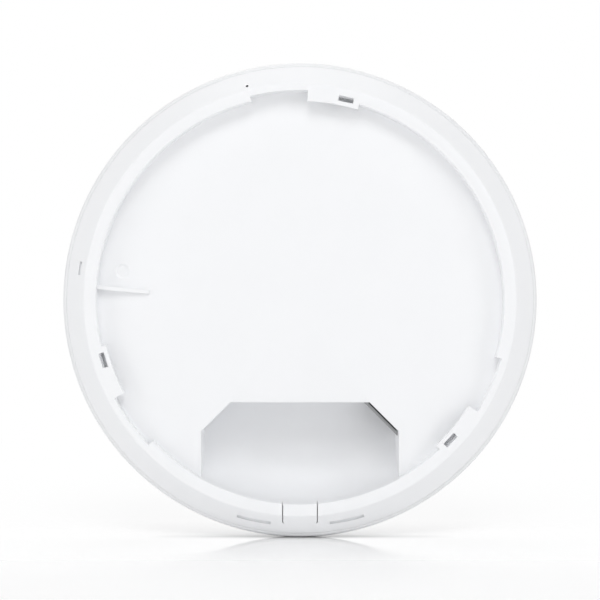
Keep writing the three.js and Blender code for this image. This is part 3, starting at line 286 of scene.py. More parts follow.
def bay_bowl(grow, low_y):
    """The turned form that gives the bay its floor, flat in the middle and rising to the rim's wall."""
    width = recess_radius - bay_flat_radius + grow
    depth = bay_depth - bay_curve_end_y + grow
    curve = [math.pi / 2 * i / bay_steps for i in range(bay_steps + 1)]
    wall = [(bay_flat_radius + width * math.cos(a), bay_curve_end_y + depth * math.sin(a)) for a in curve]
    return turned("bowl", [(0, low_y), (recess_radius + grow, low_y)] + wall + [(0, bay_depth + grow)])


def housing_shell():
    inner_flat = rim_radius + (housing_wall - wall_across_slope) / slope_rise
    lip_inner = lip_radius - lip_wall
    inner_slope_end = rim_y + (lip_inner - rim_radius) * slope_rise + wall_across_slope
    lip_end = slope_end_y + lip_height
    run = rim_outer_round / math.hypot(1, slope_rise)
    before, after = (rim_radius - rim_outer_round, rim_y), (rim_radius + run, rim_y + run * slope_rise)
    wall_radius = recess_radius + housing_wall
    profile = [(0, 0), (recess_radius, 0)]
    profile += arc(recess_radius + rim_round, rim_y + rim_round, rim_round, 180, 270, 6)
    profile += bend(before, (rim_radius, rim_y), after, 8)
    profile += [(slope_radius, slope_end_y), (lip_radius, slope_end_y), (lip_radius, lip_end)]
    profile += [(lip_inner, lip_end), (lip_inner, inner_slope_end), (inner_flat, rim_y + housing_wall)]
    profile += [(wall_radius, rim_y + housing_wall), (wall_radius, housing_wall), (0, housing_wall)]
    return turned("rear_housing_shape", profile)


tab_start, tab_end, notch_end = 73.1, 87.9, 103.7
tab_reach = 2.2 * mm
tab_thickness = 2.2 * mm
tab_inner_radius = recess_radius - tab_reach
channel_radius = recess_radius + 2.4 * mm
pocket_margin = 1.3
core_slot_angle = 77.05
core_slot_width = 2.3 * mm
core_slot_length = 6.4 * mm
core_slot_inset = 0.6 * mm
core_slot_sink = 2.8 * mm
core_slot_radius = channel_radius - core_slot_inset - core_slot_width / 2
stations = (0, 120, 240)


def station_sectors(inner, outer, start, end, low, high):
    """The same sector at each bayonet station."""
    return [sector(inner, outer, turn + start, turn + end, low, high) for turn in stations]


def bayonet_pockets():
    """Bosses behind the channels, which keep a wall round them."""
    inner, outer = recess_radius + housing_wall / 2, channel_radius + housing_wall
    low = rim_y + housing_wall / 2
    start, end = tab_start - pocket_margin, notch_end + pocket_margin
    return station_sectors(inner, outer, start, end, low, housing_wall)


def bayonet_channels():
    """The space under each tab, and the notch beside it where a lug enters."""
    inner = tab_inner_radius - overrun
    under = station_sectors(inner, channel_radius, tab_start, notch_end, rim_y + tab_thickness, 0)
    notches = station_sectors(inner, channel_radius, tab_end, notch_end, rim_y - overrun, 0)
    return under + notches


def bayonet_tabs():
    outer = channel_radius + housing_wall / 2
    return station_sectors(tab_inner_radius, outer, tab_start, tab_end, rim_y, rim_y + tab_thickness)


def core_slot_blocks(low, high, wall=0.0):
    """A block at the place of each core slot, wider by a wall on every side."""
    width, length = core_slot_width + 2 * wall, core_slot_length + 2 * wall
    blocks = []
    for turn in stations:
        angle = turn + core_slot_angle
        x, z = polar(core_slot_radius, angle)
        blocks.append(block(width, low, high, length, x, z, angle))
    return blocks


def core_slots():
    """A slot through each tab, and a sink in the floor under it, where a mould core stood."""
    through = core_slot_blocks(rim_y - overrun, rim_y + tab_thickness + overrun)
    return through + core_slot_blocks(-overrun, core_slot_sink)


rib_z = 5.5 * mm
rib_length = 22.6 * mm
rib_lean = -5.5
rib_width = 1.7 * mm
rib_root = 3.6 * mm
rib_tip = 1.2 * mm
rib_steps = 8


def guide_rib():
    """A blade-like rib, highest at the recess's wall, with a rounded crest that runs out on the floor."""
    root = housing_wall / 2
    end = bend((rib_length - rib_width, -rib_tip), (rib_length, -rib_tip), (rib_length, root), rib_steps)
    side = [(0, root), (0, -rib_root)] + end
    low, high = [[(x, y, offset) for x, y in side] for offset in (-rib_width / 2, rib_width / 2)]
    turn = Matrix.Rotation(-math.radians(rib_lean), 4, "Y")
    return joined_loops("rib", low, high, Matrix.Translation((-recess_radius, 0, rib_z)) @ turn)


seat_gap = 0.2 * mm
board_y = 7 * mm
board_thickness = 1.6 * mm
boss_radius = 3.3 * mm
boss_bore = 1.5 * mm
gusset_length = 3.4 * mm
gusset_thickness = 1.1 * mm
gusset_drop = 1.6 * mm
board_radius = 84 * mm
board_screw_inset = 6.5 * mm
sink_radius = 0.738 * board_radius
board_screw_angles = (45, 99, 139, 206, 345)
board_screw_places = [polar(board_radius - board_screw_inset, angle) for angle in board_screw_angles]
sink_screw_rows, sink_screw_columns = (0.516, -0.226), (-0.758, 0.758)
sink_screw_places = [(x * sink_radius, z * sink_radius) for z in sink_screw_rows for x in sink_screw_columns]
boss_places = board_screw_places + sink_screw_places


def bosses():
    """Screw bosses, each with three gussets that end below its seat."""
    low, high = housing_wall / 2, board_y - seat_gap
    gusset_high = high - gusset_drop
    parts = []
    for x, z in boss_places:
        parts.append(rod(boss_radius, low, high, x, z))
        for angle in stations:
            dx, dz = polar(boss_radius, angle)
            parts.append(block(gusset_length, low, gusset_high, gusset_thickness, x + dx, z + dz, angle))
    return parts


chamfer_degrees = -45
jack_x = bay_half_width - bay_chamfer / 2
jack_z = bay_top_z - bay_chamfer / 2
jack_low_y = board_y + board_thickness + seat_gap
jack_width = 16 * mm
jack_height = 13.4 * mm
window_margin = 0.3 * mm
window_low_y = housing_wall + 1.2 * mm


def jack_window():
    """The opening in the bay's upper right chamfer for the socket."""
    width, high = jack_width + 2 * window_margin, jack_low_y + jack_height + window_margin
    return block(width, window_low_y, high, 2 * (housing_wall + overrun), jack_x, jack_z, chamfer_degrees)


knock_out_half_width = 7.4 * mm
knock_out_slit = 0.36 * mm
knock_out_reach = 3.1 * mm
knock_out_curl = 0.8 * mm
knock_out_depth = 7.4 * mm


def knock_out_slits():
    half, curl = knock_out_slit / 2, knock_out_curl
    end = -(rim_radius + knock_out_reach)
    start = -recess_radius + overrun
    slits = []
    for side in (-1, 1):
        x = side * knock_out_half_width
        inner, outer = x - side * half, x + side * half
        tip = (x - side * curl, end - curl)
        outline = [(inner, start), (inner, end), tip, (outer, end), (outer, start)]
        slits.append(prism("slit", outline, rim_y - overrun, rim_y + knock_out_depth))
    return slits


pinhole_angle = 103.9
pinhole_reach = 2 * mm
pinhole_bore = 0.55 * mm
groove_depth = 1.4 * mm
short_groove = (2.9 * mm, 0.9 * mm, 170, 173.5)
long_grooves = [(4.3 * mm, 1.3 * mm, *span) for span in ((253.75, 262.5), (277.6, 286.5))]


def slope_groove(reach, width, from_angle, to_angle):
    """A shallow groove in the slope, closed at its floor."""
    radius = rim_radius + reach
    floor_y = rim_y + reach * slope_rise + groove_depth
    return sector(radius - width / 2, radius + width / 2, from_angle, to_angle, rim_y, floor_y)


def slope_cuts():
    """The pinhole over the reset switch, a short groove on the left and two long ones below."""
    x, z = polar(rim_radius + pinhole_reach, pinhole_angle)
    pinhole = rod(pinhole_bore, rim_y, housing_wall, x, z, sides=24)
    return [pinhole] + [slope_groove(*groove) for groove in [short_groove] + long_grooves]


dimple_depth = 0.5 * mm
dimple_radius = 2.3 * mm
dimple_flare = 1.8
dimple_reach = 10.7 * mm
dimple_z = 12.4 * mm


def dimple():
    """A shallow dish in the sunk floor, with a sloping wall."""
    open_radius = dimple_radius + dimple_flare * (dimple_depth + overrun)
    profile = [(0, -overrun), (open_radius, -overrun), (dimple_radius, dimple_depth), (0, dimple_depth)]
    dish = turned("dish", profile, segments=64)
    dish.data.transform(Matrix.Translation((dimple_reach - recess_radius, 0, dimple_z)))
    return dish


snap_angles = (30, 90, 150, 210, 270, 330)
snap_window_start = 0.9 * mm
snap_window_end = 3.5 * mm
snap_window_width = 12.6 * mm


def snap_windows():
    """Openings in the housing's lip for the dome's teeth."""
    low, high = slope_end_y + snap_window_start, slope_end_y + snap_window_end
    slots = []
    for angle in snap_angles:
        x, z = polar(lip_radius - lip_wall / 2, angle)
        slots.append(block(lip_wall + 2 * overrun, low, high, snap_window_width, x, z, angle))
    return slots


def bay_mouth():
    """A narrow chamfer round the bay's mouth, kept within the sunk floor."""
    low = [(x, -overrun, z) for x, z in bay_outline(bay_edge + overrun)]
    high = [(x, bay_edge + overrun, z) for x, z in bay_outline(-overrun)]
    inside = rod(recess_radius - overrun / 4, -2 * overrun, 2 * overrun, sides=turned_segments)
    return combine(joined_loops("mouth", low, high), [inside], "INTERSECT")


def lead_in():
    """A wide and shallow slope along the bay's upper edge."""
    half = bay_half_width - bay_chamfer - lead_in_width / 2
    drop = lead_in_depth * (1 + overrun / lead_in_width)
    top, edge = bay_top_z + lead_in_width, bay_top_z - overrun
    low, high = [[(x, 0, top), (x, 0, edge), (x, drop, edge)] for x in (-half, half)]
    return joined_loops("lead in", low, high)


def rear_housing_body():
    body = housing_shell()
    tub = prism("tub", bay_outline(housing_wall), housing_wall / 2, bay_depth + 2 * housing_wall)
    combine(tub, [bay_bowl(housing_wall, housing_wall / 2)], "INTERSECT")
    wells = core_slot_blocks(housing_wall / 2, core_slot_sink + housing_wall, housing_wall / 2)
    combine(body, [tub] + bayonet_pockets() + wells + bosses(), "UNION")
    bay = prism("bay", bay_outline(0), -overrun, bay_depth + overrun)
    combine(bay, [bay_bowl(0, -overrun)], "INTERSECT")
    combine(body, [bay, bay_mouth(), lead_in()] + bayonet_channels(), "DIFFERENCE")
    combine(body, [guide_rib()] + bayonet_tabs(), "UNION")
    holes = [rod(boss_bore, housing_wall, board_y, x, z, sides=16) for x, z in boss_places]
    cuts = core_slots() + snap_windows() + slope_cuts()
    cuts += [dimple(), jack_window()] + knock_out_slits() + holes
    return combine(body, cuts, "DIFFERENCE")


def where_on(tree):
    return tree.nodes.new("ShaderNodeTexCoord").outputs["Object"]


def noise(tree, where, scale, detail):
    inputs = {"Vector": where, "Scale": scale, "Detail": detail}
    return add_node(tree, "ShaderNodeTexNoise", inputs).outputs["Fac"]


def grain_group():
    """Fine moulded grain: a height for bump and a tone that drifts slowly over the surface."""
    scales = {"Grain Scale": "Float", "Drift Scale": "Float"}
    results = {"Height": "Float", "Tone": "Float"}
    tree, given, out = new_group("moulded grain", "ShaderNodeTree", scales, results)
    where = where_on(tree)
    grain = noise(tree, where, given["Grain Scale"], 3.0)
    pits = add_node(tree, "ShaderNodeTexVoronoi", {"Vector": where, "Scale": given["Grain Scale"]})
    tree.links.new(maths(tree, "ADD", grain, pits.outputs["Distance"]), out["Height"])
    tree.links.new(noise(tree, where, given["Drift Scale"], 2.0), out["Tone"])
    return tree


def edge_group():
    """A mask that is white along worn or rubbed edges, broken up by noise."""
    scales = {"Width": "Float", "Break Scale": "Float"}
    tree, given, out = new_group("edge wear", "ShaderNodeTree", scales, {"Mask": "Float"})
    rounded = add_node(tree, "ShaderNodeBevel", {"Radius": given["Width"]}, samples=4).outputs[0]
    flat = tree.nodes.new("ShaderNodeNewGeometry").outputs["Normal"]
    match = add_node(tree, "ShaderNodeVectorMath", {0: rounded, 1: flat}, operation="DOT_PRODUCT")
    edge = ranged(tree, match.outputs["Value"], 0.0, 1.0, 0.99, 0.8)
    broken = noise(tree, where_on(tree), given["Break Scale"], 4.0)
    tree.links.new(maths(tree, "MULTIPLY", edge, broken), out["Mask"])
    return tree


moulded_grain = grain_group()
edge_wear = edge_group()


def new_material(name, fixed=None):
    """A material with fixed values in its Principled shader, returned with its tree and that shader."""
    material = bpy.data.materials.new(name)
    material.use_nodes = True
    surface = material.node_tree.nodes["Principled BSDF"]
    for socket, value in (fixed or {}).items():
        surface.inputs[socket].default_value = value
    return material, material.node_tree, surface


def use_group(tree, group, values):
    """Places a shader node group with its own values, and returns its outputs."""
    return add_node(tree, "ShaderNodeGroup", values, node_tree=group).outputs


def two_tone(tree, share, low, high):
    """A colour between two others, each a socket or its red, green and blue."""
    low, high = [(*end, 1) if isinstance(end, tuple) else end for end in (low, high)]
    return add_node(tree, "ShaderNodeMix", {0: share, 6: low, 7: high}, data_type="RGBA").outputs[2]


relief_depth = 0.05 * mm
rubbed_width = 0.25 * mm
soft_edge = 0.2 * mm


def skin(tree, surface, colour, gloss, height, strength, depth=relief_depth, **more):
    """Links a colour and a roughness to the surface, and a height as its fine relief."""
    tree.links.new(colour, surface.inputs["Base Color"])
    tree.links.new(gloss, surface.inputs["Roughness"])
    relief = {"Height": height, "Strength": strength, "Distance": depth, **more}
    tree.links.new(add_node(tree, "ShaderNodeBump", relief).outputs[0], surface.inputs["Normal"])


def moulded(name, colour, shade, rubbed, roughness, grain_scale=2600.0, drift_scale=45.0, bump=0.04):
    """Moulded plastic: fine grain, slow drift of tone and gloss, and edges rubbed a little smoother."""
    material, tree, surface = new_material(name)
    grain = use_group(tree, moulded_grain, {"Grain Scale": grain_scale, "Drift Scale": drift_scale})
    wear = use_group(tree, edge_wear, {"Width": rubbed_width, "Break Scale": 8 * drift_scale})
    paint = two_tone(tree, wear["Mask"], two_tone(tree, grain["Tone"], shade, colour), rubbed)
    gloss = ranged(tree, grain["Tone"], roughness + 0.05, roughness - 0.05)
    rounded = add_node(tree, "ShaderNodeBevel", {"Radius": soft_edge}, samples=4).outputs[0]
    skin(tree, surface, paint, gloss, grain["Height"], bump, Normal=rounded)
    return material


def finish_piece(made, material, body, slot, *nodes, sharp=28):
    """Gives a piece its material and smooth shading, and ties it to the frame."""
    made.data.materials.clear()
    made.data.materials.append(material)
    made.data.shade_smooth()
    made.data.set_sharp_from_angle(angle=math.radians(sharp))
    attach(made, body)
    if nodes:
        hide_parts(*nodes)


rear_white = moulded("rear white", (0.9, 0.907, 0.922), (0.88, 0.888, 0.904), (0.92, 0.925, 0.935), 0.5)
rear_housing = rear_housing_body()
rear_housing.name = "rear_housing_moulding"
finish_piece(rear_housing, rear_white, "unit", "rear_plastic", "rear_housing")


# The reset switch and its plunger are black and white mouldings behind the pinhole, at the board's edge.
# The plunger keeps the shape of its solid.
black_moulded = moulded(
    "black moulding", (0.028, 0.028, 0.032), (0.018, 0.018, 0.02), (0.06, 0.06, 0.065), 0.55, bump=0.08
)


def dress(material, *names):
    """Gives solids that keep their own shape a material."""
    for name in names:
        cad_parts[name].data.materials[0] = material


dress(rear_white, "reset_button")
dress(black_moulded, "reset_switch")


# The main board is a glass-fibre laminate under green solder mask. Copper runs show through the mask
# as slightly raised, lighter lines between cells, and bare pads are tinned.
def copper_group():
    """Masks for the copper runs and the bare pads of a circuit board, and their height."""
    masks = {"Runs": "Float", "Pads": "Float", "Height": "Float"}
    tree, given, out = new_group("copper pattern", "ShaderNodeTree", {"Cells": "Float"}, masks)
    pattern = {"Vector": where_on(tree), "Scale": given["Cells"], "Randomness": 0.8}
    cells = add_node(tree, "ShaderNodeTexVoronoi", pattern, feature="DISTANCE_TO_EDGE")
    runs = ranged(tree, cells.outputs["Distance"], 0.0, 1.0, 0.06, 0.04)
    dots = add_node(tree, "ShaderNodeTexVoronoi", pattern)
    pads = ranged(tree, dots.outputs["Distance"], 0.0, 1.0, 0.16, 0.12)
    tree.links.new(runs, out["Runs"])
    tree.links.new(pads, out["Pads"])
    tree.links.new(maths(tree, "MAXIMUM", runs, pads), out["Height"])
    return tree


def laminate():
    material, tree, surface = new_material("circuit board")
    copper = use_group(tree, copper_group(), {"Cells": 260.0})
    grain = use_group(tree, moulded_grain, {"Grain Scale": 3000.0, "Drift Scale": 60.0})
    mask = two_tone(tree, grain["Tone"], (0.02, 0.12, 0.06), (0.035, 0.16, 0.085))
    lines = two_tone(tree, copper["Runs"], mask, (0.07, 0.27, 0.14))
    bare = two_tone(tree, copper["Pads"], lines, (0.75, 0.74, 0.7))
    tree.links.new(copper["Pads"], surface.inputs["Metallic"])
    skin(tree, surface, bare, ranged(tree, grain["Tone"], 0.45, 0.3), copper["Height"], 0.4)
    return material


board_green = laminate()
dress(board_green, "main_board")


# The network socket is folded from tinned sheet round a black moulding with eight sprung gold wires.
# The sheet is drawn and dull, with streaks along the rolling direction and brighter rubbed edges.
def streak_group():
    """Streaks along one direction: a height for bump and a tone."""
    results = {"Height": "Float", "Tone": "Float"}
    tree, given, out = new_group("rolled streaks", "ShaderNodeTree", {"Stretch": "Vector"}, results)
    where = where_on(tree)
    drawn = add_node(tree, "ShaderNodeVectorMath", {0: where, 1: given["Stretch"]}, operation="MULTIPLY")
    tree.links.new(noise(tree, drawn.outputs[0], 1.0, 5.0), out["Height"])
    tree.links.new(noise(tree, where, 180.0, 3.0), out["Tone"])
    return tree


rolled_streaks = streak_group()


def metallic(name, colour, dull, rubbed, roughness, stretch, bump=0.1):
    """Bare metal: streaks or pits, blotches of duller metal, and brighter rubbed edges."""
    material, tree, surface = new_material(name, {"Metallic": 1.0})
    streaks = use_group(tree, rolled_streaks, {"Stretch": stretch})
    wear = use_group(tree, edge_wear, {"Width": soft_edge, "Break Scale": 500.0})
    paint = two_tone(tree, wear["Mask"], two_tone(tree, streaks["Tone"], dull, colour), rubbed)
    gloss = ranged(tree, streaks["Height"], roughness + 0.12, roughness - 0.12)
    skin(tree, surface, paint, gloss, streaks["Height"], bump)
    return material


tinned = metallic(
    "tinned sheet", (0.42, 0.425, 0.43), (0.3, 0.305, 0.31), (0.7, 0.7, 0.7), 0.42, (300, 300, 4000)
)
gold = metallic(
    "contact gold", (0.83, 0.62, 0.28), (0.7, 0.5, 0.2), (0.95, 0.78, 0.45), 0.25, (6000, 400, 400), 0.05
)
sheet_edge = 0.22 * mm
shade_strip_width = 0.75 * mm
shade_strip_end_gap = 0.5 * mm
shade_strip_low_y = 7.4 * mm
shade_strip_high_y = 8.8 * mm


def numbered(name, count):
    """The names of a row of nodes that are counted from one."""
    return [f"{name}_{i + 1}" for i in range(count)]


def jack_cage():
    """The folded sheet shell with the small rounds that folding leaves on its edges."""
    made = new_object("jack_cage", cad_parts["jack_shell"].data.copy())
    rounds = made.modifiers.new("folded edges", "BEVEL")
    rounds.width = sheet_edge
    rounds.segments = 3
    rounds.limit_method = "ANGLE"
    return settle(made)


def jack_seal():
    """A black strip over the gap between the sheet's collar and the housing's chamfer: painted shade for the
    dark gap.
    """
    length = math.sqrt(2) * bay_chamfer - 2 * shade_strip_end_gap
    away = shade_strip_width / 2 / math.sqrt(2)
    x, z = jack_x - away, jack_z - away
    strip = block(length, shade_strip_low_y, shade_strip_high_y, shade_strip_width, x, z, chamfer_degrees)
    strip.name = "jack_seal"
    return strip


finish_piece(jack_cage(), tinned, "unit", "tinned_sheet", "jack_shell")
# The strip's near-black colour is painted shade, standing in for the shadow in the gap beside the collar.
shade_strip_black = moulded(
    "painted shade strip", (0.03, 0.03, 0.032), (0.012, 0.012, 0.013), (0.05, 0.05, 0.05), 0.9, 1400.0, 300.0, 0.4
)
finish_piece(jack_seal(), shade_strip_black, "unit", "black_plastic")
dress(black_moulded, "jack_insert")
dress(gold, *numbered("jack_contact", 8))


# The shield cans and the six antennas are the same tinned sheet, and soft thermal pads lie on the cans.
# The pads are silicone filled with pale grains, and take the print of a woven liner.
def waves(tree, where, scale, way, distortion=0.0):
    """Bands across one direction."""
    inputs = {"Vector": where, "Scale": scale, "Distortion": distortion}
    return add_node(tree, "ShaderNodeTexWave", inputs, bands_direction=way).outputs["Fac"]


def silicone_pad():
    material, tree, surface = new_material("thermal pad")
    where = where_on(tree)
    weave = maths(tree, "MULTIPLY", *[waves(tree, where, 420.0, way) for way in ("X", "Z")])
    specks = noise(tree, where, 2500.0, 2.0)
    colour = two_tone(tree, specks, (0.26, 0.33, 0.39), (0.42, 0.5, 0.55))
    skin(tree, surface, colour, ranged(tree, specks, 0.9, 0.7), weave, 0.3)
    return material


dress(tinned, *numbered("shield_can", 3), *numbered("antenna", 6))
dress(silicone_pad(), *numbered("thermal_pad", 3))


# The power and network parts: dark sleeved cans, an enamelled copper coil, a ferrite core and a moulded
# block. The coil's turns are fine grooves round it, and the ferrite is dull and pitted.
def enamelled_copper():
    material, tree, surface = new_material("enamelled copper", {"Metallic": 0.85})
    turns = waves(tree, where_on(tree), 900.0, "Y", 0.4)
    streaks = use_group(tree, rolled_streaks, {"Stretch": (900, 5000, 900)})
    colour = two_tone(tree, streaks["Tone"], (0.5, 0.2, 0.09), (0.72, 0.36, 0.19))
    skin(tree, surface, colour, ranged(tree, streaks["Height"], 0.4, 0.22), turns, 0.7, 2 * relief_depth)
    return material


copper_coil = enamelled_copper()
ferrite = moulded(
    "ferrite", (0.085, 0.085, 0.095), (0.05, 0.05, 0.055), (0.16, 0.16, 0.17), 0.7, 1400.0, 200.0, 0.3
)
dark_sleeve = moulded(
    "dark sleeve", (0.12, 0.13, 0.15), (0.085, 0.09, 0.11), (0.22, 0.23, 0.25), 0.3, 3500.0, 120.0
)
dress(dark_sleeve, *numbered("capacitor", 3))
dress(copper_coil, "power_inductor")
dress(ferrite, "power_transformer")
dress(black_moulded, "lan_transformer")


# The heat sink is die-cast aluminium with a slightly pitted skin, its fins rubbed bright along their tops.
cast_aluminium = metallic(
    "cast aluminium", (0.6, 0.61, 0.63), (0.45, 0.46, 0.48), (0.8, 0.8, 0.81), 0.5, (2200, 2200, 2200), 0.35
)
dress(cast_aluminium, "heat_sink")


# Pan-head screws hold the board, the heat sink and the blower. Each is zinc plated, with a rolled thread
# and a crossed recess, and one screw is set on all its places, turned by chance as it was driven.
screw_shank = 1.2 * mm
screw_head = 2.6 * mm
screw_head_height = 1.8 * mm
screw_head_side = 0.9 * mm
screw_slot_width = 0.6 * mm
screw_slot_length = 2.8 * mm
thread_pitch = 0.7 * mm
thread_depth = 0.25 * mm


def placing_tree():
    """Sets copies of a piece on points, turned about Y by a step for each and by chance."""
    inputs = {"Places": "Geometry", "Piece": "Object", "Step": "Float", "Chance": "Float"}
    inputs.update({"Seed": "Int", "Material": "Material"})
    tree, given, out = new_group("set on places", "GeometryNodeTree", inputs, {"Body": "Geometry"})
    source = add_node(tree, "GeometryNodeObjectInfo", {"Object": given["Piece"]})
    index = tree.nodes.new("GeometryNodeInputIndex").outputs[0]
    steps = maths(tree, "MULTIPLY", index, given["Step"])
    random = add_node(tree, "FunctionNodeRandomValue", {"Seed": given["Seed"]}, data_type="FLOAT")
    chance = maths(tree, "MULTIPLY", random.outputs[1], given["Chance"])
    spin = add_node(tree, "ShaderNodeCombineXYZ", {"Y": maths(tree, "ADD", steps, chance)}).outputs[0]
    setting = {"Points": given["Places"], "Instance": source.outputs["Geometry"], "Rotation": spin}
    placed = add_node(tree, "GeometryNodeInstanceOnPoints", setting)
    put_out(tree, placed.outputs[0], given["Material"], out)
    return tree


placing = placing_tree()


def set_on_places(name, piece, places, material, step=0.0, chance=0.0, seed=1):
    """One mesh of a piece's copies; the single piece is removed."""
    points = bpy.data.meshes.new(name)
    points.from_pydata(places, [], [])
    values = {"Piece": piece, "Step": step, "Chance": chance, "Seed": seed, "Material": material}
    made = run_tree(new_object(name, points), placing, values)
    bpy.data.objects.remove(piece)
    return made


def screw(length):
    """A pan-head screw driven towards the mounting side, with its head's seat at the origin."""
    tip = screw_shank - length
    thread = []
    turns = int((length - 2 * screw_shank) / thread_pitch)
    for i in range(turns):
        y = tip + i * thread_pitch
        thread.append((screw_shank - thread_depth, y))
        thread.append((screw_shank, y + thread_pitch / 2))
    seat, top = (screw_head, 0), (screw_head / 2, screw_head_height)
    crown = bend((screw_head, screw_head_side), (screw_head, screw_head_height), top, 6)
    root = screw_shank - thread_depth
    profile = [(0, -length), (screw_shank / 2, -length)] + thread
    profile += [(root, tip + turns * thread_pitch), (root, -thread_depth), (screw_shank, 0), seat]
    profile += crown + [(0, screw_head_height)]
    body = turned("screw", profile, segments=32)
    low, high = screw_head_height / 2, 2 * screw_head_height
    recess = [block(screw_slot_width, low, high, screw_slot_length, degrees=turn) for turn in (0, 90)]
    return combine(body, recess, "DIFFERENCE")


screw_steel = metallic(
    "screw steel", (0.55, 0.56, 0.58), (0.4, 0.41, 0.43), (0.75, 0.76, 0.77), 0.3, (2500, 600, 2500)
)
board_front_y = board_y + board_thickness
can_height = 2.2 * mm
pad_thickness = 0.7 * mm
sink_plate = 2 * mm
sink_y = board_front_y + can_height + pad_thickness + 3 * seat_gap
sink_front_y = sink_y + sink_plate
screw_tip_y = housing_wall + overrun


def screws(node, places, seat_y, length, seed):
    """All screws of one kind as one piece, in the places of its numbered nodes."""
    seats = [(x, seat_y, z) for x, z in places]
    made = set_on_places(f"{node}s", screw(length), seats, screw_steel, chance=full_turn, seed=seed)
    finish_piece(made, screw_steel, "unit", "screw_steel", *numbered(node, len(places)), sharp=30)


board_seat_y = board_front_y + seat_gap
sink_seat_y = sink_front_y + seat_gap
screws("board_screw", board_screw_places, board_seat_y, board_seat_y - screw_tip_y, 3)
screws("heat_sink_screw", sink_screw_places, sink_seat_y, sink_seat_y - screw_tip_y, 5)


# The blower: a black tray and lid round a wound stator, and a moulded wheel whose swept blades
# are one blade set round the axis. The wheel turns on its own body.
blower_half = 20 * mm
blower_gap_z = 7 * mm
blower_z = bay_top_z + housing_wall + 1 * mm + blower_half + blower_gap_z
blower_y = sink_front_y + seat_gap
dome_front_y = 40 * mm
light_board_y = dome_front_y - 10 * mm
blower_depth = 0.446 * (light_board_y - blower_y)
wheel_low_y = blower_y + 1 * mm
wheel_top_y = blower_y + blower_depth - 0.5 * mm
wheel_radius = 0.77 * blower_half
wheel_hub = 0.4 * blower_half
wheel_wall = 1 * mm
wheel_web = 0.7 * mm
wheel_shaft = 0.8 * mm
wheel_shaft_y = blower_y + 1.1 * mm
hub_round = 0.6 * mm
blade_root = 0.52 * blower_half
blade_count = 15
blade_sweep = 24
blade_half = 0.3 * mm
blade_steps = 12


def blade():
    """A backward-swept blade of even thickness, from the wheel's inlet edge to its rim."""
    start = Vector(polar(blade_root, 0))
    middle = Vector(polar((blade_root + wheel_radius) / 2, -blade_sweep / 3))
    end = Vector(polar(wheel_radius - blade_half, -blade_sweep))
    line = [Vector(point) for point in bend(start, middle, end, blade_steps)]
    sides = []
    for i, point in enumerate(line):
        along = (line[min(i + 1, len(line) - 1)] - line[max(i - 1, 0)]).normalized()
        sides.append((point, Vector((-along.y, along.x)) * blade_half))
    left = [point + across for point, across in sides]
    right = [point - across for point, across in reversed(sides)]
    return prism("blade", left + right, wheel_low_y + wheel_web / 2, wheel_top_y)


def wheel_body():
    """The wheel's web with its rounded rim, and the hub that turns on a thin shaft."""
    roof_y = wheel_top_y - wheel_wall
    web_top = wheel_low_y + wheel_web
    crown = arc(wheel_hub - hub_round, wheel_top_y - hub_round, hub_round, 0, 90, 6)
    rim = arc(wheel_radius - wheel_web / 2, wheel_low_y + wheel_web / 2, wheel_web / 2, -90, 90, 8)
    profile = [(0, wheel_shaft_y), (wheel_shaft, wheel_shaft_y), (wheel_shaft, roof_y)]
    profile += [(wheel_hub - wheel_wall, roof_y), (wheel_hub - wheel_wall, wheel_low_y)]
    profile += rim + [(wheel_hub, web_top)] + crown + [(0, wheel_top_y)]
    return turned("blower_wheel", profile, segments=96)


wheel = wheel_body()
blade_turn = full_turn / blade_count
blades = set_on_places("blades", blade(), [(0, 0, 0)] * blade_count, black_moulded, step=blade_turn)
combine(wheel, [blades], "UNION")
wheel.data.transform(Matrix.Translation((0, 0, blower_z)))
finish_piece(wheel, black_moulded, "impeller", "black_plastic", "blower_impeller")
dress(black_moulded, "blower_base", "blower_cover")
dress(copper_coil, "blower_stator")
cover_seat_y = blower_y + blower_depth + 1.2 * mm
blower_screw_reach = 0.86 * blower_half
blower_corners = ((-1, 1), (-1, -1), (1, -1))
blower_screw_places = [
    (x * blower_screw_reach, blower_z + z * blower_screw_reach) for x, z in blower_corners
]
blower_screw_length = cover_seat_y - seat_gap - sink_front_y + sink_plate / 2
screws("blower_screw", blower_screw_places, cover_seat_y, blower_screw_length, 7)


# The status light: chips on a small board under a clear guide, whose light comes out through a flush
# milky ring in the dome. The guide is polished acrylic and the ring is frosted.
def frosted(name, colour, cloud, roughness, through):
    """Clear or milky plastic with faint clouding and fine polishing marks."""
    material, tree, surface = new_material(name, {"Transmission Weight": through, "IOR": 1.49})
    streaks = use_group(tree, rolled_streaks, {"Stretch": (1500, 300, 1500)})
    tint = two_tone(tree, streaks["Tone"], cloud, colour)
    gloss = ranged(tree, streaks["Height"], roughness + 0.04, roughness - 0.04)
    skin(tree, surface, tint, gloss, streaks["Height"], 0.05)
    return material


ring_radius = 25 * mm
lens_width = 1.7 * mm
lens_depth = 1.1 * mm
guide_width = 2 * mm
guide_foot = 3.6 * mm
guide_foot_height = 1.2 * mm
guide_groove = 0.6 * mm
light_board_thickness = 1.2 * mm
led_height = 0.8 * mm
dome_power = 2.35
dome_wall = 2.5 * mm
dome_rise = dome_front_y - dome_widest_y
dome_inner_radius = dome_radius - dome_wall
dome_inner_rise = dome_rise - dome_wall


def dome_height(radius, outer, rise):
    """Height of a superellipse dome at a radius."""
    return dome_widest_y + rise * (1 - (radius / outer) ** dome_power) ** (1 / dome_power)


def light_ring():
    """The lens lies flush in the dome's groove, its top following the dome's curve."""
    inner, outer = ring_radius - lens_width / 2, ring_radius + lens_width / 2
    low_y = dome_height(ring_radius, dome_radius, dome_rise) - lens_depth
    steps = [outer + (inner - outer) * i / 6 for i in range(7)]
    top = [(radius, dome_height(radius, dome_radius, dome_rise)) for radius in steps]
    return turned("light_ring_lens", [(inner, low_y), (outer, low_y)] + top + [(inner, low_y)])


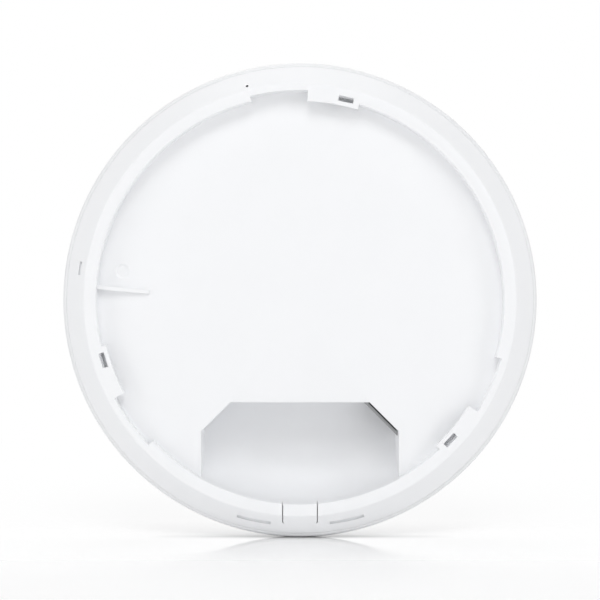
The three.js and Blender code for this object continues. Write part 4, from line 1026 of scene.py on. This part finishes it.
def light_guide():
    """A clear ring with a wide foot over the chips, narrowing in a curve to its upper edge."""
    low_y = light_board_y + light_board_thickness + led_height + 2 * seat_gap
    top_y = dome_height(ring_radius, dome_inner_radius, dome_inner_rise) + guide_groove - seat_gap
    neck, foot = ring_radius + guide_width / 2, ring_radius + guide_foot / 2
    shoulder, waist = low_y + guide_foot_height, low_y + 2 * guide_foot_height
    curve = bend((foot, shoulder), (neck, shoulder), (neck, waist), 6)
    outside = [(foot, low_y)] + curve + [(neck, top_y)]
    inside = [(2 * ring_radius - radius, y) for radius, y in reversed(outside)]
    return turned("light_guide_ring", outside + inside + outside[:1])


milky = frosted("milky lens", (0.86, 0.89, 0.91), (0.8, 0.83, 0.86), 0.3, 0.35)
clear = frosted("clear acrylic", (0.94, 0.96, 0.97), (0.88, 0.91, 0.93), 0.08, 0.95)
finish_piece(light_ring(), milky, "unit", "light_lens", "light_ring")
finish_piece(light_guide(), clear, "unit", "clear_acrylic", "light_guide")
dress(board_green, "led_board")


# Under the ring lie four light chips with yellow phosphor, grainy under clear resin. A flat satin lead
# with printed conductors runs from the light board to its socket, and a black round lead serves the blower.
def phosphor():
    material, tree, surface = new_material("phosphor chip", {"Coat Weight": 0.6})
    grain = use_group(tree, moulded_grain, {"Grain Scale": 5000.0, "Drift Scale": 600.0})
    colour = two_tone(tree, grain["Tone"], (0.8, 0.68, 0.32), (0.88, 0.84, 0.6))
    skin(tree, surface, colour, ranged(tree, grain["Tone"], 0.3, 0.15), grain["Height"], 0.1)
    return material


def printed_film():
    """Satin film with conductors printed along it, seen as faint darker lines."""
    material, tree, surface = new_material("ribbon film")
    where = where_on(tree)
    lines = waves(tree, where, 320.0, "X")
    colour = two_tone(tree, lines, (0.55, 0.52, 0.44), (0.74, 0.72, 0.66))
    gloss = ranged(tree, noise(tree, where, 900.0, 3.0), 0.5, 0.35)
    skin(tree, surface, colour, gloss, lines, 0.3)
    return material


film = printed_film()
jacket = moulded(
    "lead jacket", (0.04, 0.04, 0.045), (0.028, 0.028, 0.032), (0.07, 0.07, 0.075), 0.75, 1800.0, 150.0, 0.15
)
dress(phosphor(), *numbered("status_led", 4))
dress(film, "led_ribbon", "ribbon_socket")
dress(jacket, "blower_lead")


# The front dome is a second white moulding, a little glossier. It snaps over the housing's lip, and from
# behind only its edge shows. The curve is a superellipse, flat in front and rounding over to the edge.
dome_edge_wall = 2 * mm
dome_edge_round = 0.25 * mm
seam_gap = 0.15 * mm
skirt_steps = 8


def dome_curve(outer, rise, groove_half, groove_y, steps=56):
    """Points from the widest circle to the axis, with a ring groove cut into the curve."""
    groove_inner, groove_outer = ring_radius - groove_half, ring_radius + groove_half
    points = []
    for i in range(steps + 1):
        angle = math.pi / 2 * i / steps
        radius = outer * math.cos(angle) ** (2 / dome_power) if i < steps else 0.0
        points.append((radius, dome_widest_y + rise * math.sin(angle) ** (2 / dome_power)))
    before = [p for p in points if p[0] > groove_outer]
    after = [p for p in points if p[0] < groove_inner]
    edges = [(radius, dome_height(radius, outer, rise)) for radius in (groove_outer, groove_inner)]
    groove = [edges[0], (groove_outer, groove_y), (groove_inner, groove_y), edges[1]]
    return before + groove + after


def dome_body():
    edge_y = slope_end_y + seam_gap
    lens_seat_y = dome_height(ring_radius, dome_radius, dome_rise) - lens_depth - seat_gap
    guide_roof_y = dome_height(ring_radius, dome_inner_radius, dome_inner_rise) + guide_groove
    lens_half = lens_width / 2 + seat_gap
    guide_half = guide_width / 2 + seat_gap
    outside = dome_curve(dome_radius, dome_rise, lens_half, lens_seat_y)
    inside = dome_curve(dome_inner_radius, dome_inner_rise, guide_half, guide_roof_y)
    round_y = edge_y + dome_edge_round
    skirt = []
    for i in range(skirt_steps):
        angle = math.pi / 2 * i / skirt_steps
        radius = dome_edge_radius + (dome_radius - dome_edge_radius) * math.sin(angle)
        skirt.append((radius, round_y + (dome_widest_y - round_y) * (1 - math.cos(angle))))
    edge_inner = dome_edge_radius - dome_edge_wall
    bottom = arc(dome_edge_radius - dome_edge_round, round_y, dome_edge_round, 270, 345, 4)
    profile = list(reversed(inside)) + [(edge_inner, dome_widest_y), (edge_inner, edge_y)]
    return turned("front_dome_moulding", profile + bottom + skirt + outside)


tooth_start = 1.2 * mm
tooth_height = 2 * mm
tooth_reach = 1.1 * mm
tooth_ramp = 1.2 * mm
tooth_half_width = 6 * mm


def snap_teeth():
    """Wedges inside the dome's edge that snap into the windows of the housing's lip."""
    wall, start = dome_edge_radius - dome_edge_wall, slope_end_y + tooth_start
    root, end = wall + dome_edge_wall / 2, start + tooth_height
    tip = wall - tooth_reach
    section = [(root, start), (root, end), (tip, end), (tip, start + tooth_ramp)]
    low, high = [[(radius, y, side * tooth_half_width) for radius, y in section] for side in (-1, 1)]
    turns = [Matrix.Rotation(-math.radians(angle), 4, "Y") for angle in snap_angles]
    return [joined_loops("tooth", low, high, turn) for turn in turns]


post_radius = 2.6 * mm
post_pin = 1.4 * mm
post_inset = 8 * mm
post_head = 2.5 * mm
post_head_top = 2.2 * mm
post_head_side = 0.5 * mm
post_head_slope = 0.8 * mm
post_tip = 1 * mm
post_angles = (90, 210, 330)


def light_posts():
    """Posts with snap heads that hold the light board under the ring."""
    shoulder = light_board_y + light_board_thickness + seat_gap
    head, roof = light_board_y - seat_gap, dome_front_y - dome_wall
    profile = [(0, head - post_tip), (post_pin, head - post_tip), (post_head_top, head - post_head_slope)]
    profile += [(post_head, head - post_head_side), (post_head, head), (post_pin, head)]
    profile += [(post_pin, shoulder), (post_radius, shoulder), (post_radius, roof), (0, roof)]
    posts = []
    for angle in post_angles:
        post = turned("post", profile, segments=32)
        x, z = polar(ring_radius - post_inset, angle)
        post.data.transform(Matrix.Translation((x, 0, z)))
        posts.append(post)
    return posts


dome_white = moulded("dome white", (0.84, 0.847, 0.86), (0.82, 0.828, 0.842), (0.88, 0.885, 0.893), 0.38)
front_dome = combine(dome_body(), snap_teeth() + light_posts(), "UNION")
finish_piece(front_dome, dome_white, "unit", "dome_plastic", "front_dome")


# The floor is a pale sheet with a little gloss and a faint glow of its own. A narrow grey streak deepens
# the shadow where the edge touches it, and far away the sheet turns into plain white.
floor_y = -dome_radius
room = 6.0
streak_reach = 67 * mm
streak_width = 4 * mm
floor_glow = 0.1
gloss_start_y, gloss_end_y = -20 * mm, -110 * mm
plain_start, plain_end = 200 * mm, 500 * mm
# Behind the unit the floor is mixed part of the way to white for the camera: painted light over the unit's
# shadow there.
behind_start_y, behind_end_y = 15 * mm, 60 * mm
painted_light_behind = 0.6


def floor_material():
    material, tree, surface = new_material("pale floor", {"Emission Color": (1, 1, 1, 1)})
    where = where_on(tree)
    part = add_node(tree, "ShaderNodeSeparateXYZ", {0: where}).outputs
    across = maths(tree, "DIVIDE", maths(tree, "SUBTRACT", part["Y"], dome_widest_y), streak_width)
    fall = maths(tree, "MULTIPLY", maths(tree, "MULTIPLY", across, across), -1.0)
    fade = ranged(tree, maths(tree, "ABSOLUTE", part["X"]), 1.0, 0.0, 0.0, streak_reach)
    streak = maths(tree, "MULTIPLY", maths(tree, "EXPONENT", fall), fade)
    colour = two_tone(tree, streak, (0.96, 0.96, 0.96), (0.38, 0.38, 0.385))
    tree.links.new(colour, surface.inputs["Base Color"])
    tree.links.new(ranged(tree, streak, floor_glow, 0.0), surface.inputs["Emission Strength"])
    gloss = ranged(tree, part["Y"], 0.07, 0.6, gloss_start_y, gloss_end_y)
    tree.links.new(gloss, surface.inputs["Roughness"])
    distance = add_node(tree, "ShaderNodeVectorMath", {0: where}, operation="LENGTH").outputs["Value"]
    smooth = {"interpolation_type": "SMOOTHSTEP"}
    far = ranged(tree, distance, 0.0, 1.0, plain_start, plain_end, **smooth)
    behind = ranged(tree, part["Y"], 0.0, painted_light_behind, behind_start_y, behind_end_y, **smooth)
    camera_ray = tree.nodes.new("ShaderNodeLightPath").outputs["Is Camera Ray"]
    seen = maths(tree, "MULTIPLY", maths(tree, "MAXIMUM", far, behind), camera_ray)
    white = add_node(tree, "ShaderNodeEmission", {"Strength": 1.0})
    mixed = add_node(tree, "ShaderNodeMixShader", {0: seen, 1: surface.outputs[0], 2: white.outputs[0]})
    tree.links.new(mixed.outputs[0], tree.nodes["Material Output"].inputs["Surface"])
    return material


def floor_sheet():
    corners = [(-room, -room, 0), (room, -room, 0), (room, room, 0), (-room, room, 0)]
    mesh = bpy.data.meshes.new("floor")
    mesh.from_pydata(corners, [], [(0, 1, 2, 3)])
    return new_object("floor", mesh)


floor = floor_sheet()
floor.location = (0, 0, floor_y)
floor.data.materials.append(floor_material())


# Soft studio light: an even white surround, a key softbox high in front, one on each side,
# and one above and behind for the floor.
surround_level = 0.44
# Each softbox has a name, a place, a width and a power.
softboxes = [
    ("key softbox", (0, -2.75, 2.95), 1.8, 44.5),
    ("floor softbox", (0, 0.7, 1.7), 1.4, 6),
    ("left softbox", (-2.8, -1.7, 0.9), 1.2, 18),
    ("right softbox", (2.8, -1.7, 0.9), 1.2, 18),
]

world = bpy.data.worlds.new("studio")
world.use_nodes = True
bpy.context.scene.world = world
sky = world.node_tree
background = sky.nodes["Background"]
rays = sky.nodes.new("ShaderNodeLightPath").outputs
seen = maths(sky, "MAXIMUM", rays["Is Camera Ray"], rays["Is Glossy Ray"])
shown = maths(sky, "MAXIMUM", seen, rays["Is Transmission Ray"])
sky.links.new(ranged(sky, shown, surround_level, 1.0), background.inputs["Strength"])
background.inputs["Color"].default_value = (1, 1, 1, 1)


def softbox(name, place, width, power):
    """A square area lamp that looks at the unit's centre."""
    lamp = bpy.data.lights.new(name, "AREA")
    lamp.shape = "SQUARE"
    lamp.size = width
    lamp.energy = power
    made = new_object(name, lamp)
    made.location = place
    made.rotation_euler = (-Vector(place)).to_track_quat("-Z", "Y").to_euler()


for values in softboxes:
    softbox(*values)

bpy.context.scene.view_settings.view_transform = "Standard"
